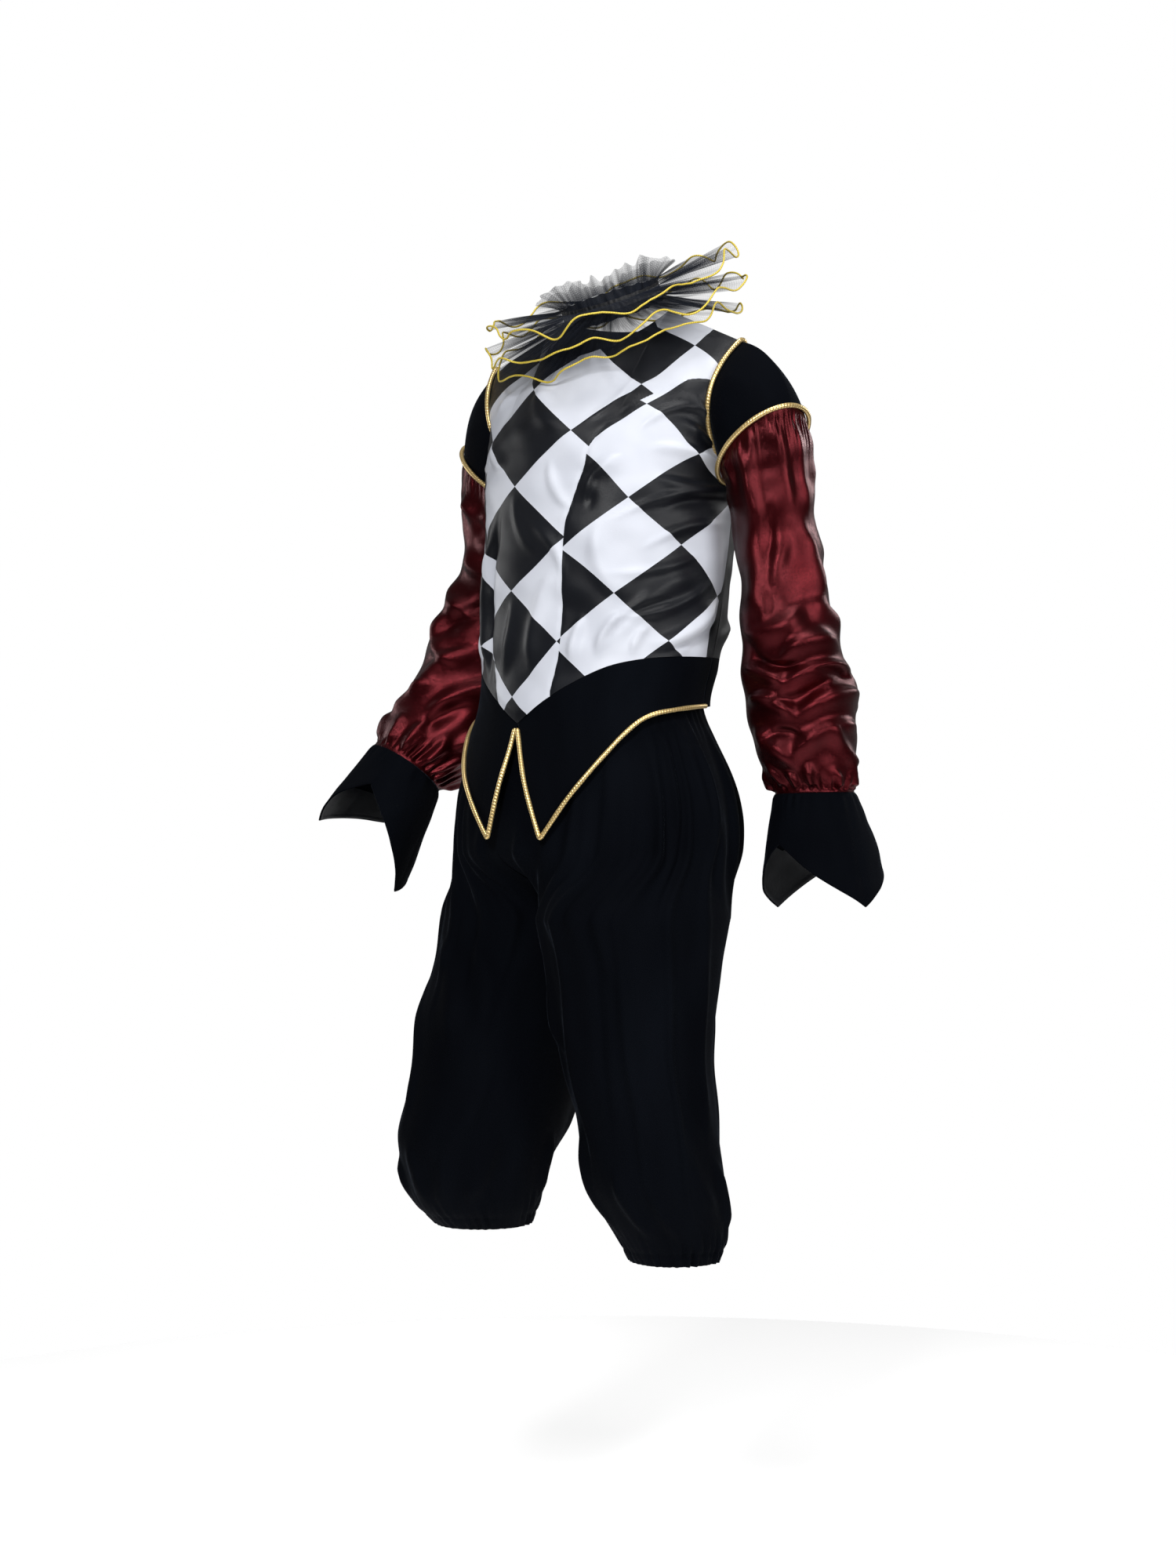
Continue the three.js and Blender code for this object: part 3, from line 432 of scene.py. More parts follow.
def cloth(name, node, p, look, closed=False, maps=None, thick=0.0):
    """A shell through a grid of points in millimetres, in place of its solid."""
    material, slot = look
    maps = maps or {"weave": weave_map(p, closed)}
    rows, cols = p.shape[:2]
    n = outward(p, closed)
    j, i = np.meshgrid(np.arange(rows - 1), np.arange(cols if closed else cols - 1), indexing="ij")
    j, i = j.ravel(), i.ravel()
    quads = np.stack([j * cols + i, (j + 1) * cols + i, (j + 1) * cols + (i + 1) % cols,
                      j * cols + (i + 1) % cols], axis=1)
    corners = np.stack([[j, i], [j + 1, i], [j + 1, i + 1], [j, i + 1]], axis=0)
    flat = p.reshape(-1, 3)
    a, b, c = (flat[quads[:, m]] for m in range(3))
    if (np.cross(b - a, c - b) * n.reshape(-1, 3)[quads[:, 0]]).sum(axis=-1).mean() < 0:
        quads, corners = quads[:, ::-1], corners[::-1]
    mesh = bpy.data.meshes.new(name)
    mesh.from_pydata((flat * MM).tolist(), [], quads.tolist())
    for label, (s, t) in maps.items():
        layer = mesh.uv_layers.new(name=label)
        uv = np.empty((len(quads), 4, 2))
        for m in range(4):
            uv[:, m, 0] = s[corners[m][0], corners[m][1]]
            uv[:, m, 1] = t[corners[m][0], corners[m][1]]
        layer.data.foreach_set("uv", uv.ravel())
    mesh.polygons.foreach_set("use_smooth", [True] * len(mesh.polygons))
    mesh.materials.append(material)
    o = bpy.data.objects.new(name, mesh)
    bpy.context.collection.objects.link(o)
    if thick:
        shell = o.modifiers.new("thickness", "SOLIDIFY")
        shell.thickness, shell.offset = thick * MM, -1.0
    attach(o, "root")
    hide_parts(node)


def weave_map(p, closed):
    """Distances along the cloth, in metres, across and down."""
    if closed:
        p = np.concatenate([p, p[:, :1]], axis=1)
    s = lengths(p, 1)
    share = s / s[:, -1:]
    t = lengths(p, 0).mean(axis=1, keepdims=True)
    return share * s[:, -1].mean() * MM, (t + 0 * s) * MM


def tube(name, node, points, radius, look, closed=False, sides=10, spacing=2.0):
    """Piping or cord along points, smoothed and evened, with its own length as a map."""
    q = np.asarray(points, float)
    if closed:
        q = np.concatenate([q, q[:1]])
    along = np.concatenate([[0], np.cumsum(np.linalg.norm(np.diff(q, axis=0), axis=1))])
    count = max(int(along[-1] / spacing), 8)
    at = np.linspace(0, along[-1], count, endpoint=not closed)
    line = np.stack([np.interp(at, along, q[:, c]) for c in range(3)], axis=1)
    for _ in range(3):
        if closed:
            line = (np.roll(line, 1, axis=0) + 2 * line + np.roll(line, -1, axis=0)) / 4
        else:
            line[1:-1] = (line[:-2] + 2 * line[1:-1] + line[2:]) / 4
    tangent = unit(np.roll(line, -1, axis=0) - np.roll(line, 1, axis=0)) if closed else unit(
        np.gradient(line, axis=0))
    side = np.empty_like(line)
    last = np.array([0.0, 0.0, 1.0]) if abs(tangent[0, 2]) < 0.8 else np.array([0.0, 1.0, 0.0])
    for m in range(count):
        last = last - tangent[m] * (last @ tangent[m])
        last = last / np.linalg.norm(last)
        side[m] = last
    if closed:  # the twist left over is spread along the loop
        end = side[-1] - tangent[0] * (side[-1] @ tangent[0])
        end = end / np.linalg.norm(end)
        other = np.cross(tangent[0], side[0])
        left = math.atan2(end @ other, end @ side[0])
        spin = -left * np.arange(count) / count
    else:
        spin = np.zeros(count)
    over = np.cross(tangent, side)
    a = spin[:, None] + round_turn(sides)[None]
    size = radius * (1 + 0.04 * np.sin(at / 7.0))[:, None]
    if not closed:
        size = size * np.minimum(1, 0.35 + np.minimum(at, along[-1] - at) / radius)[:, None]
    ring = line[:, None] + (size * np.cos(a))[..., None] * side[:, None] + (
        size * np.sin(a))[..., None] * over[:, None]
    if closed:
        ring = np.concatenate([ring, ring[:1]], axis=0)
        at = np.append(at, along[-1])
    s = np.broadcast_to(np.linspace(0, 1, sides + 1)[None], (len(at), sides + 1))
    t = np.broadcast_to(at[:, None] * MM, s.shape)
    cloth(name, node, ring, look, closed=True, maps={"weave": (s, t)})


# Materials


class Nodes:
    """A few short ways to build a material's nodes."""

    def __init__(self, name):
        self.material = bpy.data.materials.new(name)
        self.material.use_nodes = True
        self.tree = self.material.node_tree
        self.shader = self.tree.nodes["Principled BSDF"]

    def link(self, source, target):
        if isinstance(source, (int, float, tuple)):
            target.default_value = source
        else:
            self.tree.links.new(source, target)

    def add(self, kind, inputs=None, **settings):
        node = self.tree.nodes.new(kind)
        for key, value in settings.items():
            setattr(node, key, value)
        for key, source in (inputs or {}).items():
            self.link(source, node.inputs[key])
        return node

    def math(self, operation, a, b=0.0, clamp=False):
        return self.add("ShaderNodeMath", {0: a, 1: b}, operation=operation, use_clamp=clamp).outputs[0]

    def uv(self, name="weave"):
        return self.add("ShaderNodeUVMap", uv_map=name).outputs[0]

    def parts(self, vector):
        return self.add("ShaderNodeSeparateXYZ", {0: vector}).outputs

    def scaled(self, vector, x, y):
        return self.add("ShaderNodeMapping", {"Vector": vector, "Scale": (x, y, 1.0)}).outputs[0]

    def noise(self, vector, scale, detail=2.0):
        inputs = {"Vector": vector, "Scale": scale, "Detail": detail}
        return self.add("ShaderNodeTexNoise", inputs).outputs["Fac"]

    def ramp(self, value, low, high, a=0.0, b=1.0):
        inputs = {"Value": value, "From Min": low, "From Max": high, "To Min": a, "To Max": b}
        return self.add("ShaderNodeMapRange", inputs, clamp=True).outputs[0]

    def mix(self, share, a, b):
        a, b = ((*colour, 1.0) if isinstance(colour, tuple) else colour for colour in (a, b))
        return self.add("ShaderNodeMix", {0: share, 6: a, 7: b}, data_type="RGBA").outputs[2]

    def bump(self, height, distance, strength):
        inputs = {"Height": height, "Distance": distance, "Strength": strength}
        self.link(self.add("ShaderNodeBump", inputs).outputs[0], self.shader.inputs["Normal"])

    def settings(self, **values):
        for key, value in values.items():
            self.shader.inputs[key.replace("_", " ")].default_value = value


def threads(m, uv):
    """Fine threads that cross, as heights from 0 to 1."""
    loose, fine = 300.0, 2600.0
    a = m.noise(m.scaled(uv, loose, fine), 1.0, 3.0)
    b = m.noise(m.scaled(uv, fine, loose), 1.0, 2.0)
    return m.math("ADD", m.math("MULTIPLY", a, 0.7), m.math("MULTIPLY", b, 0.3))


def satin(name, low, high, roughness, metallic):
    m = Nodes(name)
    uv = m.uv()
    grain = threads(m, uv)
    tone = m.math("ADD", m.math("MULTIPLY", m.noise(uv, 9.0), 0.5), m.math("MULTIPLY", grain, 0.5))
    m.link(m.mix(m.ramp(tone, 0.35, 0.65), low, high), m.shader.inputs["Base Color"])
    m.settings(Roughness=roughness, Metallic=metallic, Anisotropic=0.35, Sheen_Weight=0.01,
               Sheen_Roughness=0.35, Specular_IOR_Level=0.45)
    m.bump(grain, 0.0005, 0.6)
    return m.material


def diamonds(name):
    """The front's print: black and white diamonds, stepped where the panels are joined."""
    m = Nodes(name)
    uv = m.uv()

    def checks(label):
        x, y, _ = m.parts(m.uv(label))
        up = m.math("MULTIPLY", m.math("ADD", x, y), 0.5)
        over = m.math("MULTIPLY", m.math("SUBTRACT", x, y), 0.5)
        both = m.math("ADD", m.math("FLOOR", up), m.math("FLOOR", over))
        return m.math("MODULO", m.math("ADD", both, 40.0), 2.0)

    past_seam, past_hem, _ = m.parts(m.uv("panel"))
    outside = m.math("GREATER_THAN", past_seam, 0.0)
    inner, outer = checks("middle"), checks("side")
    dark = m.math("ADD", m.math("MULTIPLY", inner, m.math("SUBTRACT", 1.0, outside)),
                  m.math("MULTIPLY", outer, outside), clamp=True)
    dark = m.math("GREATER_THAN", dark, 0.5)
    dark = m.math("MAXIMUM", dark, m.math("GREATER_THAN", past_hem, 0.0))
    tone = m.ramp(m.noise(uv, 12.0), 0.3, 0.7)
    white = m.mix(tone, (0.52, 0.54, 0.60), (0.60, 0.62, 0.68))
    black = m.mix(tone, (0.0035, 0.004, 0.006), (0.0065, 0.0075, 0.0105))
    m.link(m.mix(dark, white, black), m.shader.inputs["Base Color"])
    m.link(m.ramp(dark, 0.0, 1.0, 0.3, 0.37), m.shader.inputs["Roughness"])
    m.settings(Metallic=0.0, Anisotropic=0.3, Sheen_Weight=0.01, Sheen_Roughness=0.4,
               Specular_IOR_Level=0.22)
    m.bump(threads(m, uv), 0.0005, 0.5)
    return m.material


def velvet(name):
    m = Nodes(name)
    uv = m.uv()
    nap = m.ramp(m.noise(m.scaled(uv, 9.0, 3.0), 1.0, 3.0), 0.3, 0.7)
    m.link(m.mix(nap, (0.0007, 0.001, 0.002), (0.0022, 0.003, 0.005)), m.shader.inputs["Base Color"])
    m.settings(Roughness=0.85, Sheen_Weight=0.045, Sheen_Roughness=0.2, Specular_IOR_Level=0.03,
               Sheen_Tint=(0.45, 0.55, 0.75, 1.0))
    m.bump(m.noise(uv, 900.0, 3.0), 0.0008, 0.5)
    return m.material


def net(name, inner, edge, reach):
    """Open net: the holes let light through, and it looks denser where it is creased."""
    m = Nodes(name)
    uv = m.uv()
    wires = []
    for turn in (0.0, 60.0, 120.0):
        way = m.add("ShaderNodeMapping", {"Vector": uv, "Rotation": (0.0, 0.0, math.radians(turn))})
        wave = m.add("ShaderNodeTexWave", {"Vector": way.outputs[0], "Scale": 130.0})
        wires.append(m.ramp(wave.outputs["Fac"], 0.78, 0.98))
    mesh = m.math("MAXIMUM", m.math("MAXIMUM", wires[0], wires[1]), wires[2])
    streaks = m.ramp(m.noise(m.scaled(uv, 90.0, 9.0), 1.0, 3.0), 0.42, 0.72)
    cover = m.ramp(m.parts(uv)[1], 0.0, reach, inner, edge)
    alpha = m.math("ADD", m.math("MULTIPLY", mesh, 0.22), m.math("MULTIPLY", streaks, 0.42))
    m.link(m.math("ADD", alpha, cover, clamp=True), m.shader.inputs["Alpha"])
    m.link(m.mix(streaks, (0.012, 0.015, 0.024), (0.002, 0.003, 0.005)), m.shader.inputs["Base Color"])
    m.settings(Roughness=0.6, Sheen_Weight=0.02, Sheen_Roughness=0.4, Specular_IOR_Level=0.1)
    return m.material


def gold(name, low, high, metallic, roughness, twists, depth):
    """Metallic braid or cord: its strands lie across its length. Its colour has painted shade, darker in the
    grooves between the strands, and painted light, lighter on their crests, varied by a random tone.
    """
    m = Nodes(name)
    uv = m.uv()
    around, along, _ = m.parts(uv)
    slant = m.math("ADD", m.math("MULTIPLY", along, twists), around)
    strand = m.math("SINE", m.math("MULTIPLY", slant, 2 * math.pi))
    strand = m.ramp(strand, -1.0, 1.0)
    # Painted shade and light: the colour runs from low in the grooves between the strands to high on their
    # crests, times a random tone.
    tone = m.math("MULTIPLY", m.ramp(m.noise(uv, 60.0), 0.3, 0.7), strand)
    m.link(m.mix(tone, low, high), m.shader.inputs["Base Color"])
    m.settings(Roughness=roughness, Metallic=metallic, Specular_IOR_Level=0.5)
    m.bump(strand, depth, 0.6)
    return m.material


# Each cloth's material and its slot
SATIN_WINE = (satin("wine satin", (0.03, 0.001, 0.0022), (0.092, 0.0038, 0.0072), 0.26, 0.82), "satin_wine")
SATIN_BLACK = (satin("black satin", (0.004, 0.0045, 0.006), (0.008, 0.009, 0.012), 0.42, 0.0), "satin_black")
PRINT = (diamonds("diamond satin"), "satin_print")
VELVET = (velvet("black velvet"), "velvet_black")
NET = (net("black net", 0.62, 0.0, 0.095), "net_black")
NET_THICK = (net("gathered net", 0.6, 0.05, 0.035), "net_black")
# In each gold, the low colour is the painted shade of the grooves between the strands and the high colour
# the painted light on their crests.
PIPING = (gold("gold piping", (0.62, 0.42, 0.15), (0.95, 0.80, 0.45), 0.7, 0.3, 260.0, 0.0003),
          "gold_piping")
CORD = (gold("gold cord", (0.55, 0.40, 0.03), (0.88, 0.74, 0.12), 0.2, 0.45, 330.0, 0.0004), "gold_cord")

# Folds of the front, across from the middle and down from the armpit's level, in millimetres.
FRONT_FOLDS = [
    [285, -12, 150, -38, 10, 11, 2.6], [290, 8, 160, 2, -8, 10, 2.4], [280, 26, 175, 40, 8, 9, -1.8],
    [270, -30, 175, -75, 8, 12, 2.4], [245, -60, 190, -110, 4, 9, 2], [255, -45, 200, -70, -4, 8, -1.6],
    [115, -25, 78, 30, 10, 14, 2.8], [92, -5, 84, 40, 4, 8, -1.8], [95, 60, 150, 150, 14, 18, 2.2],
    [285, 150, 190, 205, -12, 14, 2.8], [292, 175, 215, 212, -6, 9, -2], [240, 120, 150, 190, 16, 16, 1.8],
    [150, 165, 120, 215, 6, 10, 2.4], [182, 180, 165, 216, 3, 8, 1.8], [95, 170, 84, 225, 3, 9, 2],
    [40, 120, 20, 230, 8, 14, 1.8], [-20, 150, -40, 240, -6, 12, 1.8], [-62, 40, -82, 235, 10, 11, -3],
    [-84, 60, -98, 235, 8, 10, 3], [-120, 120, -125, 225, -6, 12, 2.4], [-30, -130, 30, -60, 12, 18, 1.8],
    [60, -150, 150, -120, 8, 16, 1.6], [-120, -60, -60, -20, 8, 14, 2],
    [-150, -110, -100, -160, 6, 12, 1.6], [-285, -10, -160, -35, -8, 12, 2.4],
    [-285, 30, -190, 20, 8, 11, 2], [-270, 165, -190, 210, 8, 13, 2.4],
    [-230, 110, -170, 190, -10, 14, 1.8], [250, 20, 120, 52, 12, 6, 1.5], [262, 55, 160, 88, 10, 7, 1.5],
    [235, 95, 120, 118, -8, 7, 1.3], [262, 128, 150, 172, -10, 7, 1.7], [250, 205, 175, 226, -6, 6, 1.6],
    [208, 150, 128, 202, 10, 7, -1.5], [130, -60, 205, -100, -8, 7, 1.5], [60, -70, 110, -130, 8, 8, 1.3],
    [20, -20, 60, 40, 8, 8, 1.3], [-30, 20, 10, 90, 8, 9, 1.3], [10, 60, 60, 120, -8, 8, 1.3],
]
# Folds of the back: drag lines from the armholes and soft slack above the basque.
BACK_FOLDS = [
    [-215, -20, -90, -55, 10, 14, 2.4], [-205, 15, -80, 5, -10, 13, 2.2], [215, -25, 80, -50, 10, 14, 2.4],
    [205, 20, 95, 30, 8, 12, 2], [-170, -70, -90, -130, 8, 14, 1.8], [165, -75, 100, -140, -8, 13, 1.8],
    [-180, 190, -60, 150, 14, 15, 2.6], [-60, 150, 70, 165, -12, 14, 2.4],
    [185, 195, 60, 130, -12, 16, 2.6], [-120, 205, 0, 190, 6, 10, 2], [30, 205, 140, 180, -6, 10, 2],
    [-30, 60, -50, 150, 10, 18, 1.8], [60, 40, 85, 140, -8, 18, 1.8], [10, -60, -15, 40, 8, 20, 1.4],
    [-110, 90, -60, 120, 6, 12, -1.6], [120, 90, 160, 130, 5, 12, -1.6],
]
# The joins of the front's middle and side panels: from the armhole over the bust to the waist.
panel_seam = curve_of(["down", "across"], [
    [-230, 300], [-150, 225], [-126, 172], [-104, 132], [-68, 90], [-36, 71], [-15, 70], [35, 59], [63, 55],
    [135, 60], [205, 67], [260, 56],
])


def on_body(which, columns, rows):
    """The grid of a body piece, its distances on the cloth, and how far its seams calm the folds."""
    v = np.concatenate([np.linspace(0, 1, rows, endpoint=False), np.linspace(1, 2, rows)])
    u, v = np.meshgrid(np.linspace(-1, 1, columns), v)
    p = bodice_point(which, u, v)
    s, t = lengths(p, 1), lengths(p, 0)
    s = s - s[:, columns // 2: columns // 2 + 1]
    t = t - t[rows: rows + 1]
    edge = smooth(1 - np.abs(u), 0, 0.06) * smooth(v, 0, 0.12) * smooth(2 - v, 0, 0.05)
    return u, v, p, s, t, 0.25 + 0.75 * edge


def make_front():
    u, v, p, s, t, calm = on_body("front", 191, 78)
    middle = -33 + 0.072 * t
    seam = panel_seam(t)["across"]
    left = s - seam
    right = (2 * middle - s) - seam + 30 * smooth(t, 75, 155)
    step = np.maximum(left, right)
    mirrored = np.where(s > middle, s, 2 * middle - s)
    drift = 0.035 * waves(p, 3, 150)
    maps = {
        "weave": weave_map(p, False),
        "middle": ((s - middle) / 80 + drift, (t + 123) / 64.5 + drift),
        "side": ((mirrored - 57) / 75 - drift, (t + 33) / 59 + drift),
        "panel": (step / 100, (np.abs(s) - np.abs(s[:, -1:]) + 2 + 15 * smooth(t, 60, 215)) / 100),
    }
    h = 2.5 * folds(s, t, FRONT_FOLDS, wide=0.85) + 1.5 * waves(p * [1, 1, 1.3], 11, 110)
    h = (h + 0.7 * waves(p * [1, 1, 1.5], 12, 58)) * calm
    pucker = 0.35 * np.sin(t / 4.1 + 2 * np.sin(t / 31)) * hump(step, 0, 9)
    h = h + (pucker - 1.1 * hump(step, 0, 2.4)) * (np.abs(u) < 0.99) - 0.8 * hump(v, 0.03, 0.008)
    cloth("top_front", "bodice_front", raised(p, h), PRINT, maps=maps)


def make_back():
    u, v, p, s, t, calm = on_body("back", 161, 70)
    h = 2.3 * folds(s, t, BACK_FOLDS) + 1.3 * waves(p, 21, 130) + 0.5 * waves(p * [1, 1, 1.5], 22, 60)
    cloth("top_back", "bodice_back", raised(p, h * calm - 0.8 * hump(v, 0.03, 0.008)), SATIN_BLACK)


def rings(columns, rows):
    return np.meshgrid(round_turn(columns), np.linspace(0, 1, rows))


CAP_FOLDS = {
    "left": [[60, 4, 40, 60, 6, 12, 1.4], [95, 5, 92, 50, -4, 10, 1.2], [-40, 6, -25, 50, 5, 12, 1.4]],
    "right": [[70, 4, 55, 60, -6, 12, 1.4], [120, 5, 118, 50, 4, 10, 1.2], [-30, 6, -20, 50, 5, 12, 1.4]],
}


def make_cap(name, arm):
    a, v = rings(168, 34)
    p = cap_point(arm, a, v)
    h = folds(np.degrees(a), v * 90, CAP_FOLDS[name], around=360) + 0.5 * waves(p, 31, 70)
    pucker = 0.35 * np.sin(a * 41 + 2 * np.sin(a * 5)) * hump(v, 0, 0.08)
    h = (h * smooth(v, 0, 0.15) * smooth(1 - v, 0, 0.1) + pucker) * smooth(np.cos(a), -0.75, -0.3)
    cloth(f"cap_{name}_velvet", f"cap_{name}", raised(p, h, True), VELVET, closed=True)


# Folds of the sleeves: round from the outer side over the front, in degrees of the arm, which are about
# a millimetre each, and down from the cap's hem. The left arm hangs and the right elbow is bent.
SLEEVE_FOLDS = {"left": [
    [112, 6, 98, 58, 4, 8, 2.8], [88, 5, 74, 80, 6, 9, 3.2], [58, 6, 64, 96, -6, 11, 2.8],
    [34, 8, 20, 84, 6, 11, 2.6], [6, 6, -10, 92, 5, 10, 2.6], [-34, 8, -42, 74, 4, 9, 2.6],
    [72, 62, 98, 185, 10, 18, 5], [48, 84, 60, 172, -8, 13, -3.8], [28, 108, 76, 182, -8, 14, 4.6],
    [4, 96, -14, 168, 6, 15, 4], [112, 186, 18, 164, -14, 12, 6], [22, 166, -48, 192, 10, 11, 5],
    [98, 208, 38, 232, -14, 10, -4.6], [60, 224, -22, 204, 13, 11, 6], [106, 226, 62, 284, 12, 12, 5.6],
    [62, 286, -32, 236, 20, 13, 6.6], [30, 246, -30, 262, 8, 9, -4], [112, 292, 52, 322, 12, 11, 5.4],
    [52, 322, -44, 288, 14, 12, 6], [82, 300, 12, 268, -9, 9, -4.2], [114, 332, 62, 388, 9, 12, 5],
    [62, 372, -34, 334, 16, 12, 5.8], [96, 352, 44, 350, 10, 8, -4], [18, 332, -46, 384, -10, 11, 4.6],
    [104, 378, 90, 436, 4, 8, 4], [74, 392, 70, 440, 3, 7, 4], [44, 380, 40, 438, -3, 8, 4.2],
    [12, 388, 6, 440, 3, 7, 3.8], [-18, 380, -26, 438, 3, 8, 4], [150, 40, 165, 150, 8, 14, 3],
    [200, 60, 185, 190, -8, 15, 3.4], [250, 40, 235, 170, 8, 14, 3.4], [290, 80, 250, 200, -10, 13, 4],
    [150, 210, 220, 240, 12, 12, 4.6], [300, 215, 230, 265, -12, 12, 5], [160, 280, 240, 320, 12, 12, 5],
    [300, 300, 240, 350, 10, 12, 4.8], [180, 350, 230, 390, 8, 11, 4.4], [140, 385, 150, 438, 3, 8, 4],
    [190, 395, 186, 440, -3, 8, 4], [240, 385, 246, 438, 3, 8, 4], [285, 390, 280, 440, 3, 8, 4],
], "right": [
    [150, 6, 160, 70, 5, 10, 3], [118, 6, 112, 84, -6, 11, 3.2], [84, 6, 88, 80, 5, 10, 3],
    [50, 8, 60, 90, -5, 11, 2.8], [184, 8, 176, 70, 4, 9, 2.8], [60, 44, 140, 60, 12, 10, 4.4],
    [170, 66, 96, 92, -10, 10, 4], [70, 96, 150, 128, 14, 12, 5], [190, 110, 120, 150, -10, 11, 4.4],
    [60, 140, 130, 190, 16, 13, 5.6], [200, 150, 140, 216, -12, 12, 5], [150, 160, 80, 236, 10, 11, -4.2],
    [70, 190, 120, 262, 14, 13, 5.8], [210, 200, 150, 280, -12, 13, 5.6], [140, 230, 90, 320, 12, 12, 6],
    [180, 260, 120, 340, 12, 11, 5.4], [110, 290, 70, 360, 8, 11, 4.8], [150, 300, 130, 370, 8, 9, -4],
    [205, 290, 170, 372, 8, 11, 5], [60, 350, 64, 420, 3, 8, 4.2], [92, 360, 96, 424, -3, 8, 4.2],
    [124, 356, 126, 424, 3, 8, 4.4], [156, 360, 158, 424, -3, 8, 4.2], [190, 356, 188, 424, 3, 8, 4.2],
    [0, 40, 20, 160, 8, 14, 3.4], [-40, 60, -20, 200, -8, 15, 3.6], [-80, 50, -60, 180, 8, 14, 3.4],
    [-120, 70, -110, 190, 8, 14, 3.6], [0, 200, -60, 250, 12, 13, 5], [-130, 210, -70, 270, 12, 13, 5],
    [20, 280, -40, 320, -12, 12, 5], [-140, 290, -80, 340, 10, 12, 4.8], [30, 350, 34, 420, 3, 8, 4],
    [-10, 356, -14, 424, 3, 8, 4], [-60, 350, -58, 424, 3, 8, 4], [-110, 356, -112, 424, 3, 8, 4],
]}
SLEEVE_LENGTH = {"left": 445, "right": 430}


def make_sleeve(name, arm):
    a, v = rings(210, 210)
    v = v * 1.003  # the end is tucked into the cuff
    f = arm_frame(arm, WRIST * v)
    p = around_arm(f, a, f["radius"])
    h = 1.75 * folds(np.degrees(a), v * SLEEVE_LENGTH[name], SLEEVE_FOLDS[name], around=360, wide=1.05)
    loose = smooth(v, 0.05, 0.4)
    puffs = waves(p * [1.0, 1.0, 1.7], 41, 95)
    slant = waves(p * [1.0, 1.0, 2.2], 45, 62) * (1 - 0.6 * loose)
    h = h + (1.5 + 0.6 * loose) * puffs + 0.9 * slant + 0.12 * waves(p, 42, 40) - 2.6 * loose
    top = 1.1 * around_noise(a, v * 4, 43, (31, 43, 57)) * hump(v, 0, 0.07)
    low = 2.6 * around_noise(a, v * 5, 44, (23, 29, 37)) * smooth(v, 0.86, 0.97)
    low = low * (1 - smooth(v, 0.978, 0.994))
    h = h * smooth(v, 0, 0.035) * smooth(1 - v, 0, 0.06) + top * smooth(v, 0, 0.02) + low
    h = h + 1.3 * smooth(v, 0.985, 0.997)
    p = clear_of_torso(raised(p, h, True), arm["side"])
    cloth(f"sleeve_{name}_satin", f"sleeve_{name}", p, SATIN_WINE, closed=True)


FACING_INSET = 2.4


def make_cuff(name, arm):
    def swell(a, v):
        base = cuff_point(arm, a, v)
        pleat = 1.3 * around_noise(a, v * 3, 51, (19, 26, 33)) * hump(v, 0, 0.22)
        h = pleat * smooth(v, 0, 0.05) + 1.6 * waves(base, 52, 85) * v + 0.3 * waves(base, 53, 30)
        return h - 0.7 * hump(v, 0.965, 0.012)

    a, v = rings(180, 40)
    p = cuff_point(arm, a, v, swell(a, v))
    cloth(f"cuff_{name}_velvet", f"cuff_{name}", p, VELVET, closed=True, thick=1.6)
    a, v = rings(180, 20)
    v = lerp(0.5, 0.992, v)
    p = cuff_point(arm, a, v, swell(a, v) - FACING_INSET)
    cloth(f"cuff_facing_{name}_satin", f"cuff_facing_{name}", p, SATIN_BLACK, closed=True)


def make_basque():
    for name, side in (("left", 1), ("right", -1)):
        u, v = np.meshgrid(np.linspace(0, 1, 110), np.linspace(0, 1, 60))
        p = flap_point(side, u, v)
        h = 0.8 * waves(p, 61, 110) * smooth(v, 0, 0.2) - 0.8 * hump(v, 0.985, 0.02)
        h = h - 0.7 * hump(u, 0, 0.012) * smooth(v, 0, 0.2)
        cloth(f"basque_{name}_velvet", f"basque_front_{name}", raised(p, h), VELVET, thick=1.5)
    u, v = np.meshgrid(np.linspace(0, 1, 120), np.linspace(0, 1, 26))
    p = basque_back_point(u, v)
    p = raised(p, 0.9 * waves(p, 62, 100) * smooth(v, 0, 0.3))
    cloth("basque_back_velvet", "basque_back", p, VELVET, thick=1.5)


